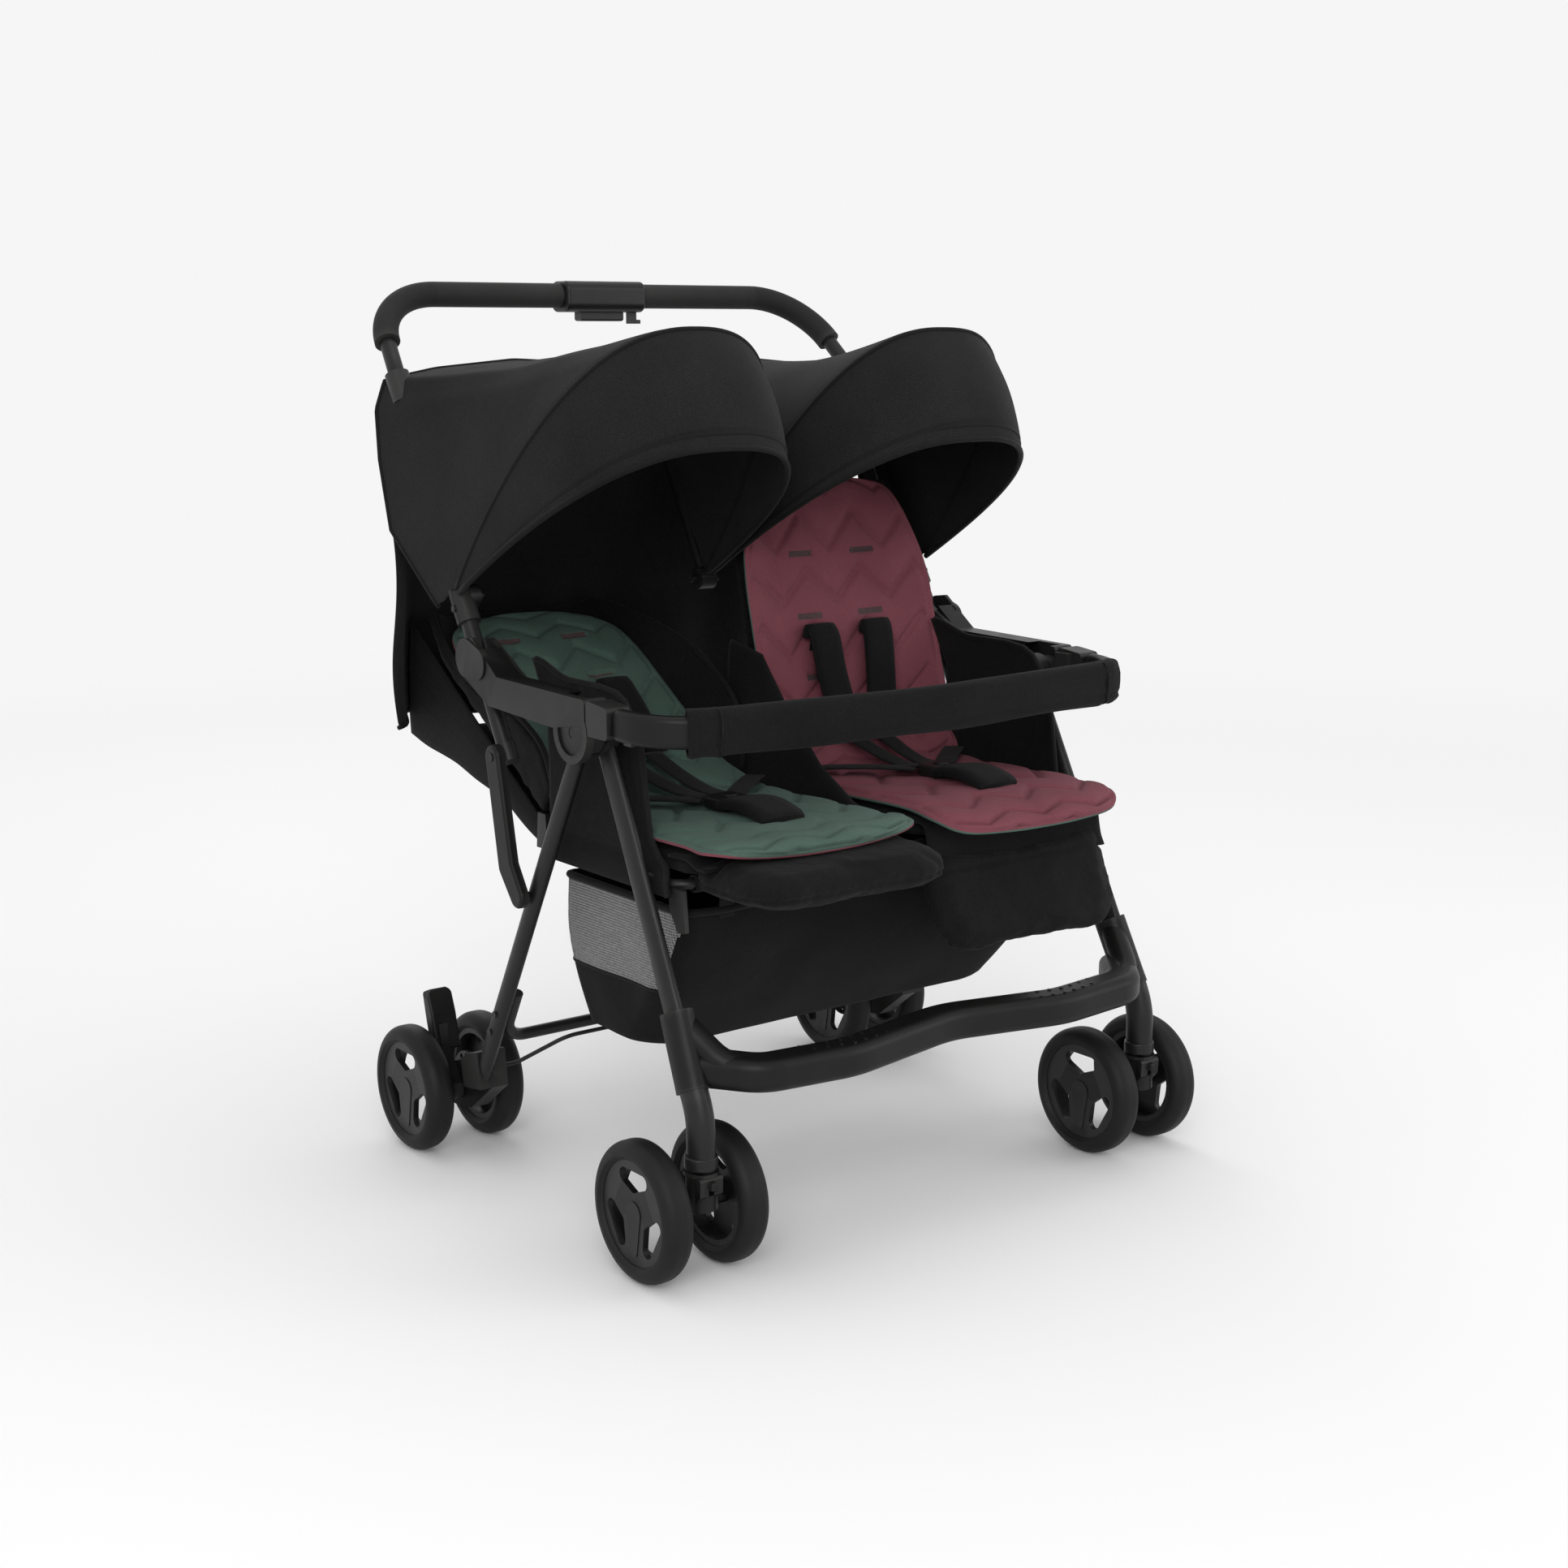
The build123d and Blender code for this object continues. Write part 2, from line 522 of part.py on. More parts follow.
def canopy_rear():
    """Rear canopy: from both middle bows back to the brace bar, then down behind as a curtain."""
    made = []
    for side in (1, -1):
        mid = side * 157.0

        def bow(angle, half, height):
            return arch_face(mid, CANOPY_PIVOT, angle, half, height, 26)

        def back(y, inset):
            pts = [(c[0] / 142 * (154 - inset), c[1]) for c in arch_points(142, 1, 0)]
            shape = [(px, 700 + (919 - inset - 700) * min(1.0, py * 1.25)) for px, py in pts]
            return Pos(mid, y, 0) * (Plane.XZ * make_face(Polyline(*shape, close=True)))

        made.append(shell_between([bow(127.8, 146, 380), back(560, 0)],
                                  [bow(128.4, 146 - SHEET, 380 - SHEET), back(562, SHEET)]))
    shells = made[0] + made[1] - cross_rod(-330, 330, tube_line(BRACE_Z), BRACE_Z, 8)

    def strip(z, ys):
        line = list(zip((-318, -290, -20, 70, 318), ys))
        back = [(x, y + SHEET) for x, y in reversed(line)]
        return Pos(0, 0, z) * make_face(Polyline(*line, *back, close=True))

    curtain = loft([strip(495, (566, 650, 650, 585, 566)), strip(914, (563, 563, 563, 563, 563))], ruled=True)
    return Compound([shells, curtain])


# ---------------------------------------------------------------- fold lock, backrests, calf rests

def lock_cover():
    """Long cover outside the tube and the rear leg, pivoted on the leg."""
    cover = hull_plate(KNEE, 14, (LOCK_PIVOT[0] + 22, LOCK_PIVOT[1] + 30), 15, 341.5, 352)
    cover += hull_plate((LOCK_PIVOT[0] + 22, LOCK_PIVOT[1] + 30), 15, LOCK_PIVOT, 13, 341.5, 352)
    cover = softened(cover, cover.faces().sort_by(Axis.X)[-1].edges(), 4)
    cover -= cross_rod(340, 351.1, *LOCK_PIVOT, 4 + RUN)
    return cover + cross_rod(351, 353, *KNEE, 5)


def backrest(side, name):
    x0, x1, lean = side * 24, side * 282, LEAN[name]
    panel = leaning_block(x0, x1, RECLINE_PIVOT, lean, (16, 366), (-8, 8))
    panel = softened(panel, panel.edges().filter_by(Axis.X).sort_by(Axis.Z)[-2:], 4)
    wing_shape = [in_side_view(RECLINE_PIVOT, s, u, lean) for s, u in
                  ((18, 0), (18, 38), (60, 62), (120, 56), (190, 27), (320, 12), (364, 0))]
    for x in (side * 24, side * 279.5):
        panel += plate(wing_shape, x, x + side * SHEET)
    for x in (side * 24, side * 270):
        ear = hull_plate(RECLINE_PIVOT, 10, in_side_view(RECLINE_PIVOT, 24, 0, lean), 8, x, x + side * 11.5)
        panel += ear
    panel -= cross_rod(-300, 300, *RECLINE_PIVOT, PIN_R - 1 + RUN)
    clip = leaning_block(side * 240, side * 262, RECLINE_PIVOT, lean, (200, 226), (-26, -7.5))
    return panel + clip


def back_liner(side, name):
    pad = leaning_block(side * (SEAT_MID - 124), side * (SEAT_MID + 124), RECLINE_PIVOT, LEAN[name], (34, 356), (9, 21))
    return softened(pad, pad.edges().filter_by(Axis.X), 4)


def harness(side, name):
    """Two shoulder straps with pads, lying on the back liner."""
    parts = []
    for x in (-38, 38):
        mid = side * SEAT_MID + x
        pad = leaning_block(mid - 20, mid + 20, RECLINE_PIVOT, LEAN[name], (110, 235), (22, 31))
        pad = softened(pad, pad.edges().filter_by(Axis.X), 3)
        web = leaning_block(mid - 12, mid + 12, RECLINE_PIVOT, LEAN[name], (60, 250), (25, 27))
        parts.append(pad + web)
    return Compound(parts)


def calf_rest(side, name):
    """Padded board on two eyes that turn on the seat frame's front tube."""
    lean = -90 - DROP[name]
    pad = leaning_block(side * (SEAT_MID - 139), side * (SEAT_MID + 132), CALF_PIVOT, lean, (18, 131), (-26, 0))
    pad = softened(pad, pad.edges().filter_by(Axis.X), 9)
    for x in (SEAT_MID - 95, SEAT_MID + 75):
        pad += hull_plate(CALF_PIVOT, 9, in_side_view(CALF_PIVOT, 27, -6, lean), 5, side * x, side * (x + 20))
    return pad - cross_rod(-300, 300, *CALF_PIVOT, SEAT_TUBE_R + RUN)


def saved(name, shape):
    export_step(Pos(0, -MID_DEPTH, 0) * shape, f"parts/{name}.step")


os.makedirs("parts", exist_ok=True)
saved("front_legs", both_sides(front_leg()))
saved("hub_brackets", both_sides(hub_bracket()))
saved("front_crossbar", front_crossbar())
saved("seat_frame", seat_frame())
saved("seats", seats())
saved("buckles", both_sides(buckle(1)))
saved("basket", basket())
saved("rear_legs", both_sides(rear_leg()))
saved("rear_crossbar", rear_crossbar())
saved("rear_housings", rear_housings())
saved("rear_axles", rear_axles())
saved("brake_cable", brake_cable())
saved("brake_pedal", brake_pedal())
saved("armrests", both_sides(armrest()))
saved("bumper_bar", bumper_bar())
saved("bumper_cover", bumper_cover())
saved("push_tube", push_tube())
saved("handle_grips", handle_grips())
saved("handle_housing", handle_housing())
saved("fold_trigger", fold_trigger())
saved("handle_brace", handle_brace())
saved("canopy_mounts", canopy_mounts())
saved("canopy_rear", canopy_rear())
saved("lock_covers", both_sides(lock_cover()))
for name, side in SIDES.items():
    saved(f"seat_liner_{name}", seat_liner(side))
    saved(f"caster_fork_{name}", caster_fork(side))
    saved(f"swivel_lock_{name}", swivel_lock(side))
    saved(f"brake_pin_{name}", brake_pin(side))
    saved(f"bumper_button_{name}", bumper_button(side))
    saved(f"canopy_front_{name}", canopy_front(side))
    saved(f"backrest_{name}", backrest(side, name))
    saved(f"back_liner_{name}", back_liner(side, name))
    saved(f"harness_{name}", harness(side, name))
    saved(f"calf_rest_{name}", calf_rest(side, name))
    for end, y in (("front", 0.0), ("rear", REAR_AXLE_Y)):
        for place, step in (("inner", -1), ("outer", 1)):
            x = side * (PAIR_X + step * TWIN_HALF)
            saved(f"tyre_{end}_{name}_{place}", tyre(x, y))
            saved(f"rim_{end}_{name}_{place}", rim(x, y, side * step, end == "rear" and place == "inner"))
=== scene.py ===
"""Looks for the side-by-side twin stroller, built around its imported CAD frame.

Local points are written in millimetres: x across (pusher's left is +), y back from the front axle, z up.
"""
import math

import bmesh
import bpy
import numpy as np
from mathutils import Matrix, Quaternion, Vector, noise


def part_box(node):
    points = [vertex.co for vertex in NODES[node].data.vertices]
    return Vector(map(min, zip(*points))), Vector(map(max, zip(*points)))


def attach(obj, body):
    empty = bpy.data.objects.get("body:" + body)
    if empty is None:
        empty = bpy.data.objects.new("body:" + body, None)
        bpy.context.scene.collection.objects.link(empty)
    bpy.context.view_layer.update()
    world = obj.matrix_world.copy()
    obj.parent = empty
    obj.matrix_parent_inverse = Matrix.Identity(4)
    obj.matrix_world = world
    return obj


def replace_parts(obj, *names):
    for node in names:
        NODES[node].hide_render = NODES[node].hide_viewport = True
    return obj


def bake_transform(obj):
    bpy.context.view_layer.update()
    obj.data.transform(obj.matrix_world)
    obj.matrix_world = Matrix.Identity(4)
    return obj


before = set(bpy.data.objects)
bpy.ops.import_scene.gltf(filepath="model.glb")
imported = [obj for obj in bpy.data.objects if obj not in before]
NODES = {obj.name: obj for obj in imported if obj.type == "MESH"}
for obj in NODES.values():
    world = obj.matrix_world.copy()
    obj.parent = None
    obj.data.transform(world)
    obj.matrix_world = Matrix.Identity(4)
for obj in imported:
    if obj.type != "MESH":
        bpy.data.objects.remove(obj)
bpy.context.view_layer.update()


def middle(node):
    low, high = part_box(node)
    return (low + high) / 2


AXLE_Y = middle("rim_front_right_outer").y          # the front axle's place in the frame, in metres
SIDES = (("right", -1), ("left", 1))
SEAT_X = 153.0                                      # middle of a seat
RECLINE = (300.0, 420.0)
CALF = (38.0, 398.0)
PIVOT = (400.0, 668.0)                              # canopies' axis
LEAN = {"right": 57.0, "left": 14.0}
DROP = {"right": 3.0, "left": 64.0}


def at(x, y, z):
    return Vector((x / 1000, AXLE_Y + y / 1000, z / 1000))


def side_point(pivot, along, up, angle):
    """(y, z) of a point along a line leaning back from vertical, then square to it towards the front."""
    c, s = math.cos(math.radians(angle)), math.sin(math.radians(angle))
    return pivot[0] + along * s - up * c, pivot[1] + along * c + up * s


def smoothstep(low, high, value):
    t = min(1.0, max(0.0, (value - low) / (high - low)))
    return t * t * (3 - 2 * t)


def lerp(a, b, t):
    return a + (b - a) * t


# ------------------------------------------------------------------ materials

def new_material(name):
    mat = bpy.data.materials.new(name)
    mat.use_nodes = True
    tree = mat.node_tree
    return mat, tree, tree.nodes["Principled BSDF"]


def node(tree, kind, **inputs):
    made = tree.nodes.new(kind)
    for key, value in inputs.items():
        made.inputs[key.replace("_", " ")].default_value = value
    return made


def noise_node(tree, coords, scale, detail=4.0, roughness=0.55):
    made = node(tree, "ShaderNodeTexNoise", Scale=scale, Detail=detail, Roughness=roughness)
    tree.links.new(coords, made.inputs["Vector"])
    return made.outputs["Fac"]


def colour_between(tree, factor, dark, light, low=0.35, high=0.65):
    ramp = tree.nodes.new("ShaderNodeValToRGB")
    ramp.color_ramp.elements[0].position, ramp.color_ramp.elements[1].position = low, high
    ramp.color_ramp.elements[0].color = (*dark, 1)
    ramp.color_ramp.elements[1].color = (*light, 1)
    tree.links.new(factor, ramp.inputs["Fac"])
    return ramp.outputs["Color"]


def bump(tree, height, strength, distance, under=None):
    made = node(tree, "ShaderNodeBump", Strength=strength, Distance=distance)
    tree.links.new(height, made.inputs["Height"])
    if under is not None:
        tree.links.new(under, made.inputs["Normal"])
    return made.outputs["Normal"]


def weave(tree, coords, pitch):
    """Crossing yarns: the largest of three bands, one along each axis, so that it shows on any face."""
    total = None
    for axis, turn in (("X", 0.0), ("Y", 0.6), ("Z", 0.3)):
        band = node(tree, "ShaderNodeTexWave", Scale=1.0 / pitch, Distortion=0.6, Detail=1.0)
        band.bands_direction = axis
        band.inputs["Phase Offset"].default_value = turn
        tree.links.new(coords, band.inputs["Vector"])
        if total is None:
            total = band.outputs["Fac"]
        else:
            add = tree.nodes.new("ShaderNodeMath")
            add.operation = "MAXIMUM"
            tree.links.new(total, add.inputs[0])
            tree.links.new(band.outputs["Fac"], add.inputs[1])
            total = add.outputs[0]
    return total


def cloth(name, dark, light, pitch=0.0011, rough=0.9, wrinkle=0.0016, sheen=0.03, fleck=0.35, shine=0.14):
    mat, tree, shader = new_material(name)
    coords = tree.nodes.new("ShaderNodeTexCoord").outputs["Object"]
    patches = noise_node(tree, coords, 9.0, 3.0)
    yarn = noise_node(tree, coords, 900.0, 2.0)
    base = colour_between(tree, patches, dark, light, 0.3, 0.7)
    spots = colour_between(tree, yarn, (1 - fleck, 1 - fleck, 1 - fleck), (1 + fleck, 1 + fleck, 1 + fleck))
    mix = tree.nodes.new("ShaderNodeMix")
    mix.data_type, mix.blend_type = "RGBA", "MULTIPLY"
    mix.inputs["Factor"].default_value = 1.0
    tree.links.new(base, mix.inputs[6])
    tree.links.new(spots, mix.inputs[7])
    tree.links.new(mix.outputs[2], shader.inputs["Base Color"])
    shader.inputs["Roughness"].default_value = rough
    shader.inputs["Sheen Weight"].default_value = sheen
    shader.inputs["Sheen Roughness"].default_value = 0.45
    shader.inputs["Specular IOR Level"].default_value = shine
    creases = bump(tree, noise_node(tree, coords, 28.0, 5.0, 0.6), 0.55, wrinkle)
    yarns = bump(tree, weave(tree, coords, pitch), 0.35, 0.00035, creases)
    tree.links.new(yarns, shader.inputs["Normal"])
    return mat


def moulded(name, dark, light, rough=0.46, grain=1600.0, depth=0.00012, shine=0.3, metallic=0.0):
    mat, tree, shader = new_material(name)
    coords = tree.nodes.new("ShaderNodeTexCoord").outputs["Object"]
    patches = noise_node(tree, coords, 14.0, 4.0)
    base = colour_between(tree, patches, dark, light, 0.3, 0.7)
    worn = tree.nodes.new("ShaderNodeNewGeometry").outputs["Pointiness"]
    edge = colour_between(tree, worn, (0, 0, 0), (0.012, 0.0118, 0.0115), 0.52, 0.6)
    mix = tree.nodes.new("ShaderNodeMix")
    mix.data_type, mix.blend_type = "RGBA", "ADD"
    mix.inputs["Factor"].default_value = 1.0
    tree.links.new(base, mix.inputs[6])
    tree.links.new(edge, mix.inputs[7])
    tree.links.new(mix.outputs[2], shader.inputs["Base Color"])
    spread = node(tree, "ShaderNodeMapRange")
    tree.links.new(noise_node(tree, coords, 45.0, 5.0), spread.inputs["Value"])
    spread.inputs["To Min"].default_value = rough - 0.07
    spread.inputs["To Max"].default_value = rough + 0.08
    tree.links.new(spread.outputs["Result"], shader.inputs["Roughness"])
    shader.inputs["Metallic"].default_value = metallic
    shader.inputs["Specular IOR Level"].default_value = shine
    tree.links.new(bump(tree, noise_node(tree, coords, grain, 2.0), 0.3, depth), shader.inputs["Normal"])
    return mat


def open_mesh(name, thread, pitch, open_share):
    """Square net in the Y-Z plane: threads around small holes, the holes fully clear."""
    mat, tree, shader = new_material(name)
    coords = tree.nodes.new("ShaderNodeTexCoord").outputs["Object"]
    axes = tree.nodes.new("ShaderNodeSeparateXYZ")
    tree.links.new(coords, axes.inputs["Vector"])

    def step(operation, value, source):
        box = tree.nodes.new("ShaderNodeMath")
        box.operation = operation
        box.inputs[1].default_value = value
        tree.links.new(source, box.inputs[0])
        return box.outputs[0]

    gaps = []
    for axis in ("Y", "Z"):
        place = step("FRACT", 0.0, step("MULTIPLY", 1.0 / pitch, axes.outputs[axis]))
        gaps.append(step("LESS_THAN", open_share, place))
    hole = step("MULTIPLY", 1.0, gaps[0])
    tree.links.new(gaps[1], hole.node.inputs[1])
    thread_only = step("LESS_THAN", 0.5, hole)
    tree.links.new(thread_only, shader.inputs["Alpha"])
    base = colour_between(tree, noise_node(tree, coords, 300.0), thread, tuple(c * 1.8 for c in thread))
    tree.links.new(base, shader.inputs["Base Color"])
    shader.inputs["Roughness"].default_value = 0.8
    return mat


def grey(value):
    return value, value, value


CANOPY_CLOTH = cloth("canopy_cloth", (0.0092, 0.0090, 0.0092), (0.0135, 0.0131, 0.0135), shine=0.13)
BLACK_CLOTH = cloth("black_cloth", (0.0050, 0.0049, 0.0050), (0.0080, 0.0078, 0.0080), shine=0.11)
BUMPER_CLOTH = cloth("bumper_cloth", (0.0056, 0.0054, 0.0056), (0.0084, 0.0081, 0.0084), shine=0.10)
PIPING = cloth("piping", grey(0.004), grey(0.007), pitch=0.0009, rough=0.75, wrinkle=0.0004)
WEBBING = cloth("webbing", grey(0.0045), grey(0.008), pitch=0.0022, rough=0.7, wrinkle=0.0003)
JERSEY = {"pitch": 0.0009, "wrinkle": 0.0014, "fleck": 0.12}
GREEN = cloth("green_jersey", (0.056, 0.094, 0.077), (0.071, 0.114, 0.095), **JERSEY)
RED = cloth("red_jersey", (0.143, 0.041, 0.055), (0.176, 0.054, 0.070), **JERSEY)
SLIT = cloth("slit", (0.05, 0.03, 0.032), (0.09, 0.06, 0.062), wrinkle=0.0002)
PAINT = moulded("painted_tube", (0.0075, 0.0073, 0.0072), (0.0105, 0.0101, 0.01), rough=0.40, grain=2600.0,
                shine=0.26)
PLASTIC = moulded("black_plastic", (0.0052, 0.0050, 0.0049), (0.0078, 0.0075, 0.0073), rough=0.42, shine=0.19)
GLOSSY = moulded("satin_plastic", (0.006, 0.006, 0.006), (0.009, 0.0088, 0.0087), rough=0.38, shine=0.3)
TYRE = moulded("tyre_rubber", (0.006, 0.0058, 0.0058), (0.009, 0.0087, 0.0087), rough=0.55, grain=900.0,
               depth=0.0002, shine=0.2)
RIM = moulded("rim_plastic", (0.005, 0.005, 0.0052), (0.008, 0.0078, 0.0078), rough=0.4, shine=0.24)
FOAM = moulded("grip_foam", (0.0085, 0.0083, 0.0082), (0.012, 0.0118, 0.0116), rough=0.75, grain=1100.0,
               depth=0.0003, shine=0.25)
STEEL = moulded("steel", (0.45, 0.45, 0.46), (0.55, 0.55, 0.56), rough=0.32, shine=0.5, metallic=1.0)
SHEATH = moulded("cable_sheath", (0.007, 0.007, 0.007), (0.011, 0.011, 0.011), rough=0.5, shine=0.3)
NET = open_mesh("side_mesh", (0.15, 0.15, 0.15), 0.0030, 0.62)

CAD_LOOK = {
    "front_legs": PAINT, "rear_legs": PAINT, "rear_crossbar": PAINT, "seat_frame": PAINT, "push_tube": PAINT,
    "hub_brackets": PLASTIC, "armrests": PLASTIC, "front_crossbar": PLASTIC, "lock_covers": PLASTIC,
    "rear_housings": PLASTIC, "handle_housing": GLOSSY, "fold_trigger": GLOSSY, "handle_brace": GLOSSY,
    "canopy_mounts": PLASTIC, "bumper_bar": PLASTIC, "brake_pedal": PLASTIC, "handle_grips": FOAM,
    "rear_axles": STEEL, "brake_cable": SHEATH,
}
for name, made in NODES.items():
    look = CAD_LOOK.get(name)
    if look is None:
        look = (TYRE if name.startswith("tyre") else RIM if name.startswith("rim") else
                STEEL if name.startswith("brake_pin") else PLASTIC)
    made.data.materials.clear()
    made.data.materials.append(look)


# ------------------------------------------------------------------ mesh helpers

def add_mesh(name, verts, faces, mats, body=None, smooth=True):
    mesh = bpy.data.meshes.new(name)
    mesh.from_pydata([tuple(v) for v in verts], [], faces)
    mesh.update()
    obj = bpy.data.objects.new(name, mesh)
    bpy.context.scene.collection.objects.link(obj)
    for mat in (mats if isinstance(mats, (list, tuple)) else [mats]):
        mesh.materials.append(mat)
    mesh.polygons.foreach_set("use_smooth", [smooth] * len(mesh.polygons))
    if body:
        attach(obj, body)
    return obj


def grid_faces(nu, nv, wrap_v=False):
    """Quads of an nu by nv grid of points; wrap_v closes it across v."""
    faces = []
    for i in range(nu - 1):
        near, far = i * nv, (i + 1) * nv
        for j in range(nv if wrap_v else nv - 1):
            k = (j + 1) % nv
            faces.append((near + j, near + k, far + k, far + j))
    return faces


def apply_all(obj):
    """The object's modifiers made part of its mesh."""
    bpy.context.view_layer.update()
    done = bpy.data.meshes.new_from_object(obj.evaluated_get(bpy.context.evaluated_depsgraph_get()))
    obj.modifiers.clear()
    old, obj.data = obj.data, done
    bpy.data.meshes.remove(old)
    done.polygons.foreach_set("use_smooth", [True] * len(done.polygons))
    return obj


def thickened(obj, thickness, levels=0, offset=0.0):
    solid = obj.modifiers.new("solid", "SOLIDIFY")
    solid.thickness, solid.offset = thickness, offset
    if levels:
        sub = obj.modifiers.new("sub", "SUBSURF")
        sub.levels = sub.render_levels = levels
    return apply_all(obj)


def smooth_line(points, count):
    """count points along a Catmull-Rom curve through the given ones."""
    pts = [Vector(p) for p in points]
    pts = [pts[0] * 2 - pts[1]] + pts + [pts[-1] * 2 - pts[-2]]
    spans = len(pts) - 3
    line = []
    for i in range(count):
        t = i / (count - 1) * spans
        k = min(int(t), spans - 1)
        t -= k
        a, b, c, d = pts[k:k + 4]
        line.append(0.5 * ((2 * b) + (c - a) * t + (2 * a - 5 * b + 4 * c - d) * t * t
                           + (3 * b - a - 3 * c + d) * t ** 3))
    return line


def tube_mesh(name, line, radius, mat, body, sides=10):
    """A round cord of cloth or plastic along a line of points, with closed ends."""
    verts, n = [], len(line)
    normal = None
    for i, p in enumerate(line):
        along = (line[min(i + 1, n - 1)] - line[max(i - 1, 0)]).normalized()
        if normal is None:
            normal = along.orthogonal().normalized()
        normal = (normal - along * normal.dot(along)).normalized()
        other = along.cross(normal)
        for k in range(sides):
            a = 2 * math.pi * k / sides
            verts.append(p + (normal * math.cos(a) + other * math.sin(a)) * radius)
    faces = grid_faces(n, sides, wrap_v=True)
    faces += [tuple(reversed(range(sides))), tuple(range((n - 1) * sides, n * sides))]
    return add_mesh(name, verts, faces, mat, body)


def ribbon(name, line, across, width, thickness, mat, body, ripple=0.0):
    """A flat strap along a line of points; across is its width's direction, or one for each point."""
    n = len(line)
    verts = []
    profile = [(-1, -0.3), (-0.92, -1), (-0.5, -1.15), (0, -1.2), (0.5, -1.15), (0.92, -1), (1, -0.3),
               (1, 0.3), (0.92, 1), (0.5, 1.15), (0, 1.2), (-0.5, 1.15), (-0.92, 1), (-1, 0.3)]
    for i, p in enumerate(line):
        side = Vector(across[i] if isinstance(across, list) else across).normalized()
        along = (line[min(i + 1, n - 1)] - line[max(i - 1, 0)]).normalized()
        up = side.cross(along).normalized()
        wave = ripple * math.sin(i * 1.7)
        for a, b in profile:
            verts.append(p + side * (a * width / 2) + up * (b * thickness / 2 + wave * (1 - a * a)))
    m = len(profile)
    faces = grid_faces(n, m, wrap_v=True) + [tuple(reversed(range(m))), tuple(range((n - 1) * m, n * m))]
    return add_mesh(name, verts, faces, mat, body)


def closed_slab(name, rows, cols, point, normal, top, bottom, mats, top_slot=0, bottom_slot=0, special=None):
    """A pad from its middle surface: point and normal at (i, j), and how far its top and bottom stand off."""
    verts = []
    for sign, height in ((1, top), (-1, bottom)):
        for i in range(rows):
            for j in range(cols):
                verts.append(point(i, j) + normal(i, j) * sign * height(i, j))
    n = rows * cols
    upper = grid_faces(rows, cols)
    lower = [tuple(n + k for k in reversed(f)) for f in upper]
    rim = ([(0, j) for j in range(cols)] + [(i, cols - 1) for i in range(1, rows)]
           + [(rows - 1, j) for j in range(cols - 2, -1, -1)] + [(i, 0) for i in range(rows - 2, 0, -1)])
    ids = [i * cols + j for i, j in rim]
    edge = [(b, a, n + a, n + b) for a, b in zip(ids, ids[1:] + ids[:1])]
    obj = add_mesh(name, verts, upper + lower + edge, mats)
    slots = [top_slot] * len(upper) + [bottom_slot] * (len(lower) + len(edge))
    if special:
        for k, (i, j) in enumerate((a, b) for a in range(rows - 1) for b in range(cols - 1)):
            slots[k] = special(i, j, slots[k])
    obj.data.polygons.foreach_set("material_index", slots)
    obj.data.update()
    return obj


def facing_out(obj):
    """Turn the faces so that they all look outwards."""
    bm = bmesh.new()
    bm.from_mesh(obj.data)
    bmesh.ops.recalc_face_normals(bm, faces=bm.faces)
    bm.to_mesh(obj.data)
    bm.free()
    return obj


def puffed(obj, voxel, cap, pressure=4.0):
    """Blown up with cloth simulation from a voxel remesh, each point kept within cap of where it began."""
    remesh = obj.modifiers.new("remesh", "REMESH")
    remesh.mode, remesh.voxel_size = "VOXEL", voxel
    apply_all(obj)
    began = np.array([v.co for v in obj.data.vertices])
    sim = obj.modifiers.new("cloth", "CLOTH")
    sim.settings.use_pressure = True
    sim.settings.uniform_pressure_force = pressure
    sim.settings.effector_weights.gravity = 0.0
    sim.settings.quality = 5
    scene = bpy.context.scene
    for f in range(1, 21):
        scene.frame_set(f)
    apply_all(obj)
    scene.frame_set(1)
    now = np.array([v.co for v in obj.data.vertices])
    if len(now) == len(began):
        move = now - began
        length = np.linalg.norm(move, axis=1, keepdims=True)
        now = began + move * np.minimum(1.0, cap / np.maximum(length, 1e-9))
        obj.data.vertices.foreach_set("co", now.astype(np.float32).ravel())
    soft = obj.modifiers.new("soft", "SMOOTH")
    soft.factor, soft.iterations = 0.5, 4
    sub = obj.modifiers.new("sub", "SUBSURF")
    sub.levels = sub.render_levels = 1
    return apply_all(obj)


def creased(obj, depth, scale, seed):
    """Small soft folds pushed into the mesh along its normals."""
    mesh = obj.data
    shift = Vector((seed * 3.1, seed * 1.7, seed * 2.3))
    normals = [v.normal.copy() for v in mesh.vertices]
    for v, n in zip(mesh.vertices, normals):
        v.co += n * depth * noise.fractal(v.co * scale + shift, 0.9, 2.1, 4)
    mesh.update()
    return obj


# ------------------------------------------------------------------ seat liners

def liner_path(name):
    """Side view of one long pad, from the seat's front edge to the top of the back: (y, z) points."""
    lean = LEAN[name]
    sag = 14 if name == "left" else 0
    front = [(-44, 438 - sag - 6), (-30, 441 - sag), (0, 441 - sag * 0.3), (60, 440), (140, 438), (215, 437)]
    bend = [side_point(RECLINE, s, 16, lean) for s in (46, 70)]
    corner = [(250, 440)] if name == "right" else [(252, 440), (270, 452)]
    top = 372 if name == "left" else 344
    back = [side_point(RECLINE, 110, 13, lean)]
    back += [side_point(RECLINE, s, 12, lean) for s in (170, 230, 290, top - 20, top)]
    return front + corner + bend + back


def chevron_distance(x, t):
    """Distance to the nearest stitched zigzag, for a point x across and t along the pad."""
    period, rise, pitch = 82.0, 15.0, 50.0
    tri = abs(((x / period) % 1.0) * 2 - 1) * 2 - 1
    place = (t + rise * tri) % pitch
    return min(place, pitch - place) / math.hypot(1, 4 * rise / period)


